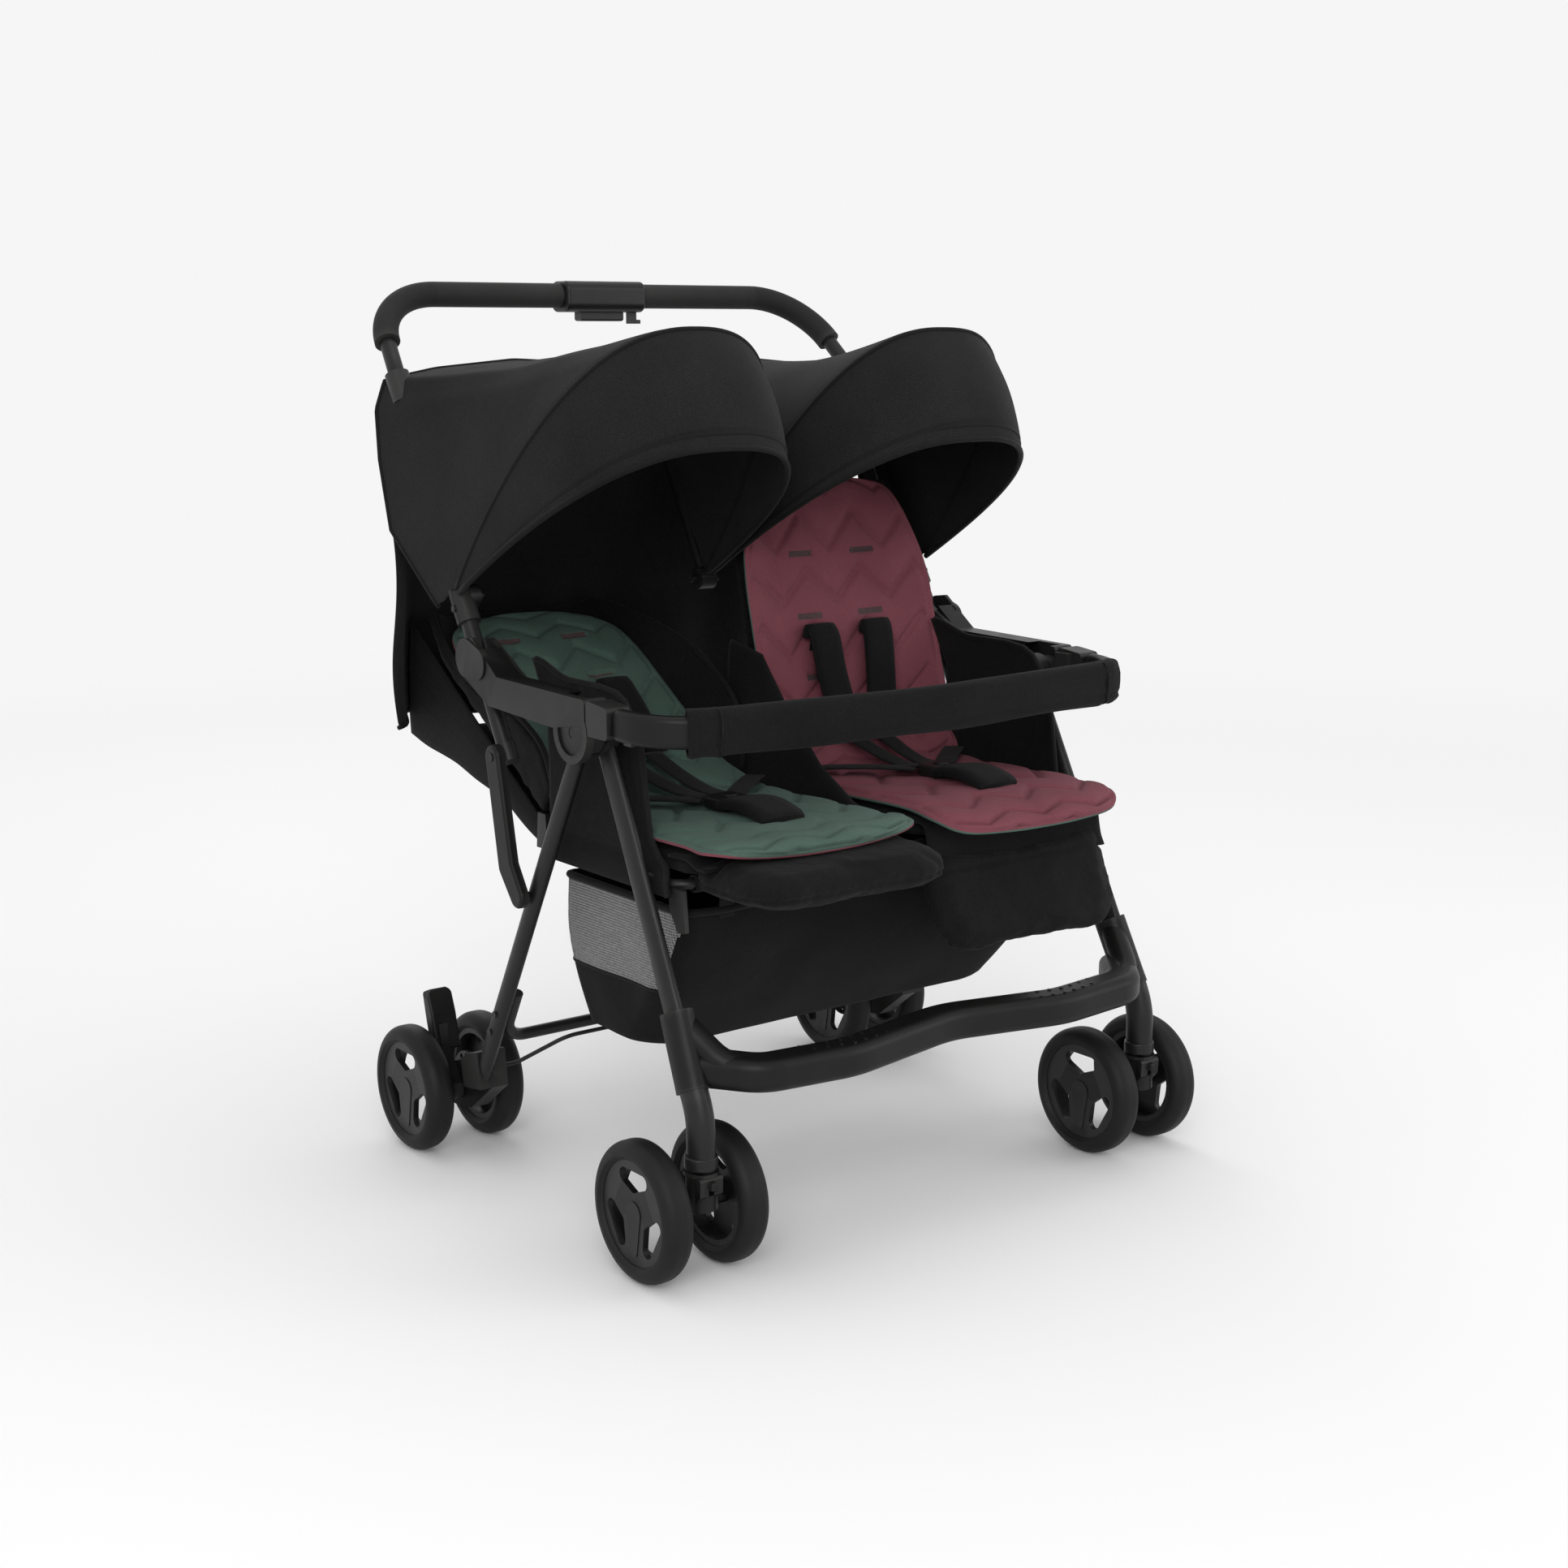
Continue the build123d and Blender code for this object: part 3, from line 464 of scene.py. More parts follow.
def liner(name, side, top_mat, under_mat):
    cols, fine = 104, 2400
    dense = smooth_line([at(0, y, z) for y, z in liner_path(name)], fine)
    total = sum((b - a).length for a, b in zip(dense, dense[1:])) * 1000
    ends = [0.07 * k ** 2 for k in range(12)]
    middle = [lerp(ends[-1], total - ends[-1], k / 240) for k in range(1, 240)]
    length = ends + middle + [total - t for t in reversed(ends)]
    line = [dense[round(t / total * (fine - 1))] for t in length]
    rows = len(line)
    half_width = 138.0
    back_extra = 10 if name == "left" else -8

    def half(t):
        wide = half_width - 7 * smoothstep(85, 130, t) + back_extra * smoothstep(270, 330, t)
        for end, run in ((t, 105.0), (total - t, 150.0)):
            if end < run:
                return wide * max(0.004, 1 - (1 - end / run) ** 2.2) ** (1 / 2.2)
        return wide

    def across(j):
        s = j / (cols - 1) * 2 - 1
        return math.sin(s * math.pi / 2) * 0.35 + s * 0.65

    def point(i, j):
        x = across(j) * half(length[i])
        side_share = abs(x) / half_width
        droop = 9 * side_share ** 3 * smoothstep(80, 0, length[i]) * (1 if name == "left" else 0.5)
        lift = 16 * side_share ** 5 * smoothstep(280, 380, length[i])
        p = line[i] + Vector((side * SEAT_X / 1000 + x / 1000, 0, -droop / 1000))
        return p + surface_normal(i, j) * lift / 1000

    def surface_normal(i, j):
        near = round(length[i] / total * (fine - 1))
        along = dense[min(near + 9, fine - 1)] - dense[max(near - 9, 0)]
        return Vector((1, 0, 0)).cross(along).normalized()

    def rise(i, j):
        t, x = length[i], across(j) * half(length[i])
        edge = min(half(t) - abs(x), t, total - t)
        body = 7.5 * (1 - math.exp(-max(0.0, edge) / 8))
        line_gap = chevron_distance(x, t)
        stitch = 5.2 * math.exp(-(line_gap / 3.0) ** 2) - 1.8 * (1 - math.exp(-(line_gap / 10) ** 2))
        stitch *= smoothstep(4, 14, edge)
        seam = 1.6 * math.exp(-((edge - 7.0) / 1.8) ** 2)
        slit = 3.0 * slot_depth(x, t)
        swell = 0.8 * noise.noise(Vector((x / 30, t / 30, side * 5)))
        return max(0.9, body - stitch - seam - slit + swell) / 1000

    def slot_depth(x, t):
        for row in (total - 100, total - 158, total - 212):
            for mid in (-47, 47):
                if abs(x - mid) < 18 and abs(t - row) < 2.2:
                    return 1.0
        return 0.0

    def special(i, j, old):
        t, x = (length[i] + length[i + 1]) / 2, (across(j) + across(j + 1)) / 2 * half(length[i])
        return 2 if slot_depth(x, t) else old

    def under(i, j):
        t = length[i]
        edge = min(half(t) * (1 - abs(across(j))), t, total - t)
        return (2.0 + 2.0 * (1 - math.exp(-edge / 9))) / 1000

    obj = closed_slab("liner_" + name, rows, cols, point, surface_normal, rise, under,
                      [top_mat, under_mat, SLIT], 0, 1, special)
    facing_out(obj)
    y1, z1 = side_point(RECLINE, 66, 14, LEAN[name])
    at(0, y1, z1)
    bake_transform(obj)
    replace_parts(obj, "seat_liner_" + name, "back_liner_" + name)
    return obj


# ------------------------------------------------------------------ seats, backrests, calf rests

def rounded_outline(half_w, y0, y1, front_r, back_r, count=12):
    """Closed outline of (x, y) points with rounded corners; y0 is the front."""
    pts = []
    front_x, back_x = half_w - front_r, half_w - back_r
    for cx, cy, r, start in ((front_x, y0 + front_r, front_r, -90), (back_x, y1 - back_r, back_r, 0),
                             (-back_x, y1 - back_r, back_r, 90), (-front_x, y0 + front_r, front_r, 180)):
        for k in range(count):
            a = math.radians(start + 90 * k / (count - 1))
            pts.append((cx + r * math.cos(a), cy + r * math.sin(a)))
    return pts


def prism(name, outline, place, low, high, mat):
    """A closed solid from an outline; place turns (x, y, height) in mm into a point in the frame."""
    n = len(outline)
    verts = [place(x, y, h) for h in (low, high) for x, y in outline]
    faces = [tuple(reversed(range(n))), tuple(range(n, 2 * n))]
    faces += [(k, (k + 1) % n, n + (k + 1) % n, n + k) for k in range(n)]
    return add_mesh(name, verts, faces, mat)


def seat_pan(name, side):
    outline = rounded_outline(129, 26, 266, 12, 14)
    obj = prism("seat_pan_" + name, outline, lambda x, y, h: at(side * SEAT_X + x, y, h), 410, 426,
                BLACK_CLOTH)
    puffed(obj, 0.005, 0.004)
    creased(obj, 0.0010, 26, side)
    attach(obj, "front_frame")
    return obj


def calf_rest(name, side):
    """Padded board on the seat frame's front tube: two panels joined by a seam round its edge."""
    lean = -90 - DROP[name]
    outline = rounded_outline(136, -136, -14, 52, 10)

    def place(x, y, h):
        yy, zz = side_point(CALF, -y, -h, lean)
        return at(side * (SEAT_X - 4) + x, yy, zz)

    obj = prism("calf_pad_" + name, outline, place, 3, 24, BLACK_CLOTH)
    puffed(obj, 0.005, 0.009)
    mesh = obj.data
    ax, ay = side_point((0, 0), 1, 0, lean)
    ux, uy = side_point((0, 0), 0, 1, lean)
    for v in mesh.vertices:
        y, z = (v.co.y - AXLE_Y) * 1000 - CALF[0], v.co.z * 1000 - CALF[1]
        x = v.co.x * 1000 - side * (SEAT_X - 4)
        along, up = y * ax + z * ay, -(y * ux + z * uy)
        corner = math.hypot(max(0.0, abs(x) - 86), max(0.0, along - 86))
        edge = max(0.0, 52 - corner) if abs(x) > 86 and along > 86 else min(138 - abs(x), 138 - along)
        rim = smoothstep(26, 4, edge)
        seam = 2.6 * math.exp(-((up - 8) / 1.6) ** 2) * rim
        pucker = 1.6 * noise.noise(Vector((x / 11, along / 11, 2.0))) * math.exp(-((up - 9) / 8) ** 2) * rim
        fold = 2.4 * math.exp(-((along - 40) / 3.5) ** 2) * smoothstep(12, 20, up)
        v.co -= v.normal * (seam + pucker + fold) / 1000
    mesh.update()
    creased(obj, 0.0016, 22, side + 4)
    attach(obj, "calf_rest_" + name)
    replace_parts(obj, "calf_rest_" + name)
    for end, x in (("outer", 95), ("inner", -75)):
        eye = smooth_line([at(0, *side_point(CALF, 8.2 * math.cos(a), 8.2 * math.sin(a), lean)) for a in
                           [math.radians(d) for d in range(0, 361, 30)]], 26)
        eye = [p + Vector((side * (SEAT_X + x + 10) / 1000, 0, 0)) for p in eye]
        ribbon(f"calf_loop_{name}_{end}", eye, (1, 0, 0), 0.024, 0.0022, BLACK_CLOTH, "calf_rest_" + name)
    return obj


INNER_WING = ((0, 26), (18, 44), (60, 88), (120, 94), (180, 86), (250, 62), (320, 34), (362, 12))
LOW_WING = ((0, 20), (18, 18), (60, 10), (120, 6), (362, 5))
OUTER_WING = ((0, 26), (18, 40), (60, 62), (120, 56), (160, 38), (200, 25), (260, 16), (320, 12), (362, 8))


def along_table(table, key):
    """Value at key in rising (key, value) pairs, straight between them."""
    for (a, va), (b, vb) in zip(table, table[1:]):
        if key <= b:
            return lerp(va, vb, max(0.0, key - a) / (b - a))
    return table[-1][1]


def backrest(name, side):
    """Padded back with side wings, one bent shell, open at the front."""
    lean, half, rows, cols = LEAN[name], 129.0, 44, 61
    x_mid = side * SEAT_X
    verts = []
    for i in range(rows):
        s = 14 + 352 * i / (rows - 1)
        left_wing, right_wing = (LOW_WING, LOW_WING) if side > 0 else (OUTER_WING, INNER_WING)
        low_side, high_side = along_table(left_wing, s), along_table(right_wing, s)
        top_round = 1 - 0.16 * smoothstep(250, 366, s) ** 2
        width = half * top_round
        total = low_side + 2 * width + high_side
        for j in range(cols):
            d = (j / (cols - 1)) * total
            if d < low_side:
                x, u = -width, low_side - d
            elif d > total - high_side:
                x, u = width, d - (total - high_side)
            else:
                x = -width + (d - low_side)
                corner = max(0.0, 1 - (width - abs(x)) / 26)
                u = 10 * corner ** 2 - 4 * math.cos(x / width * math.pi / 2) * math.sin(s / 366 * math.pi)
            y, z = side_point(RECLINE, s, u, lean)
            verts.append(at(x_mid + x, y, z))
    obj = add_mesh("backrest_shell_" + name, verts, grid_faces(rows, cols), BLACK_CLOTH)
    thickened(obj, 0.009, levels=1, offset=0.0)
    creased(obj, 0.0016, 24, side + 9)
    facing_out(obj)
    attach(obj, "backrest_" + name)
    for end in (-1, 1):
        edge = []
        for s, depth in (LOW_WING if side > 0 else INNER_WING if end > 0 else OUTER_WING):
            wide = half * (1 - 0.16 * smoothstep(250, 366, max(14, s)) ** 2)
            y, z = side_point(RECLINE, max(14, s), depth + 1, lean)
            edge.append(at(x_mid + end * wide, y, z))
        label = "outer" if end * side > 0 else "inner"
        tube_mesh(f"wing_piping_{name}_{label}", smooth_line(edge, 60), 0.0035, PIPING, "backrest_" + name)
    return obj


def back_bag():
    """Loose cloth under the reclined right back: two sides and a floor that hang from its edges."""
    low = ((0, 300, 392), (0.28, 389, 430), (0.62, 500, 457), (1.0, 616, 480))
    rows, sides, across = 34, 12, 34
    verts = []
    for i in range(rows):
        share = i / (rows - 1)
        ty, tz = side_point(RECLINE, 366 * share, -3, LEAN["right"])
        a, b = next((a, b) for a, b in zip(low, low[1:]) if share <= b[0])
        t = (share - a[0]) / (b[0] - a[0])
        by, bz = lerp(a[1], b[1], t), lerp(a[2], b[2], t)
        for k in range(-sides, across + sides + 1):
            c = max(0.0, min(1.0, k / across))
            drop = 1 - max(0, -k, k - across) / sides
            bulge = 3 * math.sin(drop * math.pi) * (-1 if c < 0.5 else 1) if drop < 1 else 0
            x = lerp(-287, -22, c) + bulge
            fold = 4 * noise.noise(Vector((c * 5, share * 4, 6.0))) * drop
            sag = -6 * math.sin(c * math.pi) * math.sin(share * math.pi) * drop
            verts.append(at(x, lerp(ty, by, drop), lerp(tz, bz, drop) + fold + sag))
    obj = add_mesh("back_bag", verts, grid_faces(rows, across + 2 * sides + 1), BLACK_CLOTH)
    thickened(obj, 0.002)
    facing_out(obj)
    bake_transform(obj)


WALL_FRONT = ((386, 44), (411, 50), (418, 66), (441, 87), (487, 94), (532, 101), (560, 115), (578, 130),
              (586, 148), (589, 176))             # (z, y) of a side wall's front edge


def side_wall(name, side, x, label):
    """Cloth between a seat pan and the armrest beside it, with a piped edge at its front and top."""
    rows, cols = 40, 44
    verts = []
    for i in range(rows):
        r = 1 - (1 - i / (rows - 1)) ** 1.4
        z = lerp(386 if label == "outer" else 411, 589, r)
        around_tube = 7.7 * smoothstep(414, 404, z) if label == "outer" else 0.0
        front, rear = along_table(WALL_FRONT, z), 286 + max(0.0, z - 545) * 0.7
        for j in range(cols):
            c = j / (cols - 1)
            y = lerp(front, rear, c)
            bulge = 2.5 * math.sin(c * math.pi) * math.sin(r * math.pi)
            bulge += 1.2 * noise.noise(Vector((c * 7, r * 4, x)))
            bulge = bulge * 0.6 * smoothstep(400, 430, z) + around_tube
            verts.append(at(x + side * bulge, y, z + 16 * smoothstep(240, 316, y) * r ** 3))
    obj = add_mesh(f"seat_side_{name}_{label}", verts, grid_faces(rows, cols), BLACK_CLOTH)
    thickened(obj, 0.0025)
    facing_out(obj)
    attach(obj, "front_frame")
    edge = [verts[i * cols] for i in range(rows)] + [verts[(rows - 1) * cols + j] for j in range(2, cols, 3)]
    tube_mesh(f"seat_side_piping_{name}_{label}", smooth_line(edge, 110), 0.0033, PIPING, "front_frame")
    return obj


for name, side in SIDES:
    top, under = (GREEN, RED) if name == "right" else (RED, GREEN)
    liner(name, side, top, under)
    seat_pan(name, side)
    calf_rest(name, side)
    shell = backrest(name, side)
    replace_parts(shell, "backrest_" + name)
    wall = side_wall(name, side, side * 289.5, "outer")
    if side > 0:
        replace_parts(wall, "seats")

def apron(name, side):
    """Cloth from the front of a seat pan down over the frame's tube to the calf rest."""
    lean, rows, cols = -90 - DROP[name], 22, 40
    line = [(64, 427), (34, 428.5), (14, 424) if name == "left" else (24, 426.5)]
    line += [side_point(CALF, s, -25.5, lean) for s in (24, 40)]
    path = smooth_line([at(0, y, z) for y, z in line], rows)
    verts = []
    for i, p in enumerate(path):
        for j in range(cols):
            c = j / (cols - 1) * 2 - 1
            ease = 2.0 * abs(c) ** 6 + 0.8 * noise.noise(Vector((c * 6, i * 0.4, side)))
            verts.append(p + Vector(((side * SEAT_X + 130 * c) / 1000, 0, -ease / 1000)))
    obj = add_mesh("seat_apron_" + name, verts, grid_faces(rows, cols), BLACK_CLOTH)
    thickened(obj, 0.003)
    facing_out(obj)
    y, z = side_point(CALF, 22, -25.5, lean)
    at(0, y, z)
    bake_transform(obj)
    return obj


def divider():
    """Padded cloth ridge between the two seats."""
    top = ((58, 430), (110, 438), (170, 472), (230, 528), (282, 588), (345, 600))
    rows, cols = 16, 60
    verts = []
    for i in range(rows):
        a = 2 * math.pi * i / rows
        for j in range(cols):
            y = lerp(58, 345, j / (cols - 1))
            high = along_table(top, y)
            mid, reach = (high + 414) / 2, (high - 414) / 2
            x = 7.5 * math.sin(a) + 0.8 * noise.noise(Vector((y / 30, a, 4.0)))
            verts.append(at(x, y, mid + reach * math.cos(a)))
    faces = [(i * cols + j, i * cols + j + 1, ((i + 1) % rows) * cols + j + 1, ((i + 1) % rows) * cols + j)
             for i in range(rows) for j in range(cols - 1)]
    faces += [tuple(i * cols for i in range(rows)), tuple(i * cols + cols - 1 for i in reversed(range(rows)))]
    obj = facing_out(add_mesh("seat_divider", verts, faces, BLACK_CLOTH))
    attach(obj, "front_frame")


for name, side in SIDES:
    apron(name, side)
divider()
back_bag()

# ------------------------------------------------------------------ canopies

MID_BOW, FRONT_BOW = 129.0, 150.0                  # angles of the bows about the pivot, from the rear
MID_BOW_R, FRONT_BOW_R, BOW_FOOT = 377.0, 341.0, 14.0
ARCH_MID, ARCH_HALF = 172.0, 170.0


def arch(angle, half, height, foot, v):
    """Point on a bow: v runs from 0 at its outer foot to 1 at its inner foot. Returns (across, y, z)."""
    a = math.pi * v
    c, s = math.cos(a), math.sin(a)
    x = half * (abs(c) ** 0.8) * (1 if c > 0 else -1)
    r = foot + (height - foot) * abs(s) ** 0.8
    ang = math.radians(angle)
    return x, PIVOT[0] + r * math.cos(ang), PIVOT[1] + r * math.sin(ang)


def canopy_front(name, side):
    rows, cols = 22, 90
    verts, rim, bow = [], [], []
    for i in range(rows):
        t = i / (rows - 1)
        angle = lerp(MID_BOW, FRONT_BOW, t)
        height = lerp(MID_BOW_R - 1, FRONT_BOW_R, t)
        puff = 5 * math.sin(t * math.pi)
        for j in range(cols):
            v = j / (cols - 1)
            x, y, z = arch(angle, lerp(ARCH_HALF, ARCH_HALF - 2, t), height + puff, BOW_FOOT, v)
            ripple = 1.6 * noise.noise(Vector((v * 9, t * 3, side * 7)))
            ang = math.radians(angle)
            p = at(side * (ARCH_MID + x), y + ripple * math.cos(ang), z + ripple * math.sin(ang))
            verts.append(p)
            if i == rows - 1:
                rim.append(p)
            if i == 0:
                bow.append(p)
    body = "canopy_" + name
    obj = add_mesh("canopy_visor_" + name, verts, grid_faces(rows, cols), [CANOPY_CLOTH])
    thickened(obj, 0.002, levels=1)
    facing_out(obj)
    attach(obj, body)
    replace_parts(obj, "canopy_front_" + name)
    tube_mesh("canopy_hem_" + name, rim, 0.0034, PIPING, body)
    tube_mesh("canopy_bow_seam_" + name, bow, 0.003, PIPING, body)
    inner = []
    for t in (0.86, 0.9):
        reach = lerp(MID_BOW_R - 1, FRONT_BOW_R, t) + 2.0 + 5 * math.sin(t * math.pi)
        for j in range(cols):
            x, y, z = arch(lerp(MID_BOW, FRONT_BOW, t), ARCH_HALF - 0.4, reach, BOW_FOOT, j / (cols - 1))
            inner.append(at(side * (ARCH_MID + x), y, z))
    add_mesh("canopy_hem_band_" + name, inner, grid_faces(2, cols), PIPING, body)
    return obj


def back_edge(v):
    """The rear canopy's rear edge over one seat: up its outer side, across to the middle of the stroller."""
    corners = ((0.0, 343, 432, 655), (0.12, 349, 528, 735), (0.24, 351, 546, 815), (0.33, 351, 550, 872),
               (0.40, 338, 552, 905), (0.5, 270, 556, 917), (0.68, 165, 558, 926), (0.85, 60, 556, 921),
               (1.0, 3, 553, 915))
    for a, b in zip(corners, corners[1:]):
        if v <= b[0]:
            t = (v - a[0]) / (b[0] - a[0])
            return [lerp(p, q, t) for p, q in zip(a[1:], b[1:])]
    return list(corners[-1][1:])


def canopy_rear(name, side):
    rows, cols = 30, 84
    verts = []
    rear_line = []
    for i in range(rows):
        t = i / (rows - 1)
        for j in range(cols):
            v = j / (cols - 1)
            x, y, z = arch(MID_BOW - 0.4, ARCH_HALF, MID_BOW_R, BOW_FOOT, v)
            front = Vector((ARCH_MID + x, y, z))
            if v > 0.5:
                front.x = max(front.x, 3.0)
            back = Vector(back_edge(v))
            p = front.lerp(back, t)
            sag = -9 * math.sin(t * math.pi) * math.sin(v * math.pi) ** 0.6
            wave = 4.0 * noise.noise(Vector((v * 6, t * 4, side * 3 + 2))) * math.sin(t * math.pi)
            p.z += sag + wave
            if v > 0.93:
                p.x = lerp(p.x, 3.0, smoothstep(0.93, 1.0, v) * smoothstep(0, 0.4, t))
            made = at(side * p.x, p.y, p.z)
            verts.append(made)
            if i == rows - 1:
                rear_line.append(made)
    obj = add_mesh("canopy_roof_" + name, verts, grid_faces(rows, cols), CANOPY_CLOTH)
    thickened(obj, 0.002, levels=1)
    facing_out(obj)
    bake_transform(obj)
    tube_mesh("canopy_rear_hem_" + name, rear_line, 0.003, PIPING, "push_bar")
    return obj


def curtain():
    """Cloth that hangs behind both seats from the rear canopy's edge."""
    rows, cols = 44, 110
    verts = []
    for i in range(rows):
        t = i / (rows - 1)
        for j in range(cols):
            c = j / (cols - 1) * 2 - 1
            x = (332 + 11 * smoothstep(0.06, 0.16, t)) * c
            top = Vector((x, 553, 914 + 10 * math.cos(c * math.pi * 2 - math.pi) * 0.5))
            push = 74 * smoothstep(-0.98, -0.8, c) * smoothstep(0.16, -0.12, c)
            push += 14 * smoothstep(-0.9, 0.2, c) * (1 - abs(c))
            fold = 7 * math.sin(c * 21 + 0.7) * t + 4 * noise.noise(Vector((c * 5, t * 4, 1.0)))
            edge = smoothstep(0.86, 1.0, abs(c))
            y = 553 + push * smoothstep(0.1, 0.8, t) + fold * (0.4 + 0.6 * t) - 10 * edge * t
            z = lerp(top.z, 500 - 6 * math.sin(c * 9), t)
            verts.append(at(x + 6 * edge * math.sin(t * 9) * (1 if c > 0 else -1), min(y, 652), z))
    obj = add_mesh("rear_curtain", verts, grid_faces(rows, cols), CANOPY_CLOTH)
    thickened(obj, 0.002, levels=1)
    facing_out(obj)
    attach(obj, "push_bar")
    edge = [verts[(rows - 1) * cols + j] for j in range(cols)]
    tube_mesh("rear_curtain_hem", edge, 0.0028, PIPING, "push_bar")
    return obj


for name, side in SIDES:
    canopy_front(name, side)
    canopy_rear(name, side)
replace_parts(curtain(), "canopy_rear")


# ------------------------------------------------------------------ bumper cover

def bumper_cover():
    half = ((0, -20, 561.2), (125, -13, 561.8), (248, -4.6, 562.5), (268, -2.4, 562.6), (285, 2.0, 562.7),
            (296, 7.4, 562.8))
    path = [at(-x, y, z) for x, y, z in reversed(half[1:])] + [at(x, y, z) for x, y, z in half]
    path = smooth_line(path, 170)
    profile = []
    for k in range(28):
        c, s = math.cos(2 * math.pi * k / 28), math.sin(2 * math.pi * k / 28)
        profile.append((math.copysign(13.2 * abs(c) ** 0.75, c), math.copysign(25.0 * abs(s) ** 0.7, s)))
    verts = []
    n = len(path)
    for i, p in enumerate(path):
        along = (path[min(i + 1, n - 1)] - path[max(i - 1, 0)]).normalized()
        out = along.cross(Vector((0, 0, 1))).normalized()
        for k, (a, b) in enumerate(profile):
            wrinkle = noise.noise(Vector((i * 0.09, k * 0.5, 3.3)))
            wrinkle += 0.5 * noise.noise(Vector((i * 0.35, k * 0.3, 9.0)))
            hem = 1.4 if b < -15 and a > 0 else 0.0
            seam = 1.2 * math.exp(-((b + 14) / 1.6) ** 2) if a > 0 else 0.0
            verts.append(p + out * (a + (wrinkle + hem - seam) * (1 if a > 0 else -1)) / 1000
                         + Vector((0, 0, (b - (0.9 * math.sin(i * 0.22) if b < -20 else 0)) / 1000)))
    m = len(profile)
    faces = grid_faces(n, m, wrap_v=True)
    obj = add_mesh("bumper_sleeve", verts, faces, BUMPER_CLOTH)
    solid = obj.modifiers.new("solid", "SOLIDIFY")
    solid.thickness, solid.offset = 0.0022, -1.0
    apply_all(facing_out(obj))
    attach(obj, "bumper")
    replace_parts(obj, "bumper_cover")
    return obj


bumper_cover()


# ------------------------------------------------------------------ basket

def basket():
    """Cloth tray with an open top: straight at the back, its front leaning in towards the bottom."""
    rows, quarter = 40, 52
    around = 4 * quarter
    verts = []

    def outline(k, half_x, y0, y1, r):
        """Point k of a rounded rectangle, and the direction out of it."""
        part, step = divmod(k, quarter)
        t = step / quarter
        corners = ((half_x, y0), (half_x, y1), (-half_x, y1), (-half_x, y0))
        ax, ay = corners[(part - 1) % 4]
        bx, by = corners[part]
        x, y = lerp(ax, bx, t), lerp(ay, by, t)
        cx, cy = max(-half_x + r, min(half_x - r, x)), max(y0 + r, min(y1 - r, y))
        away = Vector((x - cx, y - cy))
        if away.length > r:
            away = away.normalized() * r
        return cx + away.x, cy + away.y, away.normalized() if away.length > 0 else Vector((0, 0))

    for i in range(rows):
        t = i / (rows - 1)
        drop = min(1.0, t / 0.7)
        inward = smoothstep(0.7, 1.0, t)
        half_x = lerp(271, 256, drop ** 1.6) * (1 - 0.94 * inward)
        y0, y1 = lerp(52, 160, drop ** 1.25), lerp(288, 284, drop)
        y0, y1 = lerp(y0, 222, 0.92 * inward), lerp(y1, 224, 0.92 * inward)
        radius = lerp(12, 30, drop) * (1 - 0.9 * inward)
        for k in range(around):
            x, y, out = outline(k, half_x, y0, y1, radius)
            billow = 7 * math.sin(drop * math.pi) * (1 - inward)
            fold = 3.0 * noise.noise(Vector((x / 60, y / 60, drop * 1.6))) * smoothstep(0.0, 0.3, t)
            tug = 2.5 * math.cos(x / 109 * math.pi) * smoothstep(0.25, 0.0, t) if abs(out.y) > 0.5 else 0.0
            sag = tug + 7 * inward * (1 - (x / 256) ** 2) - 7 * smoothstep(200, 262, abs(x)) * drop
            z = lerp(363, 185, drop ** 0.96) - sag
            x, y = x + out.x * (billow + fold), y + out.y * (billow * 0.5 + fold)
            verts.append(at(x, y, z + fold * inward))
    faces = grid_faces(rows, around, wrap_v=True)
    faces.append(tuple(range((rows - 1) * around, rows * around)))
    obj = add_mesh("basket_cloth", verts, faces, [BLACK_CLOTH, NET])
    slots = []
    for f in obj.data.polygons:
        x, z = f.center.x * 1000, f.center.z * 1000
        slots.append(1 if abs(x) > 240 and z > 268 and abs(f.normal.x) > 0.7 else 0)
    obj.data.polygons.foreach_set("material_index", slots)
    thickened(obj, 0.002)
    facing_out(obj)
    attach(obj, "front_frame")
    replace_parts(obj, "basket")
    tube_mesh("basket_rim", [verts[k] for k in range(around)] + [verts[0]], 0.0042, PIPING, "front_frame")
    row = next(i for i in range(rows) if verts[i * around].z < 0.268)
    for side in (-1, 1):
        low = [verts[row * around + k] for k in range(around) if verts[row * around + k].x * side > 0.245]
        low.sort(key=lambda v: v.y)
        label = "left" if side > 0 else "right"
        tube_mesh("basket_seam_" + label, low, 0.0024, PIPING, "front_frame")
    for label, x in (("right", -218), ("middle", 0), ("left", 218)):
        for end, y0, y1 in (("front", 52, 44.6), ("rear", 288, 293.4)):
            line = smooth_line([at(x, y0, 352), at(x, lerp(y0, y1, 0.25), 372), at(x, y1, 396)], 16)
            ribbon(f"basket_strap_{label}_{end}", line, (1, 0, 0), 0.02, 0.0016, WEBBING, "front_frame")
    return obj


basket()


# ------------------------------------------------------------------ harness

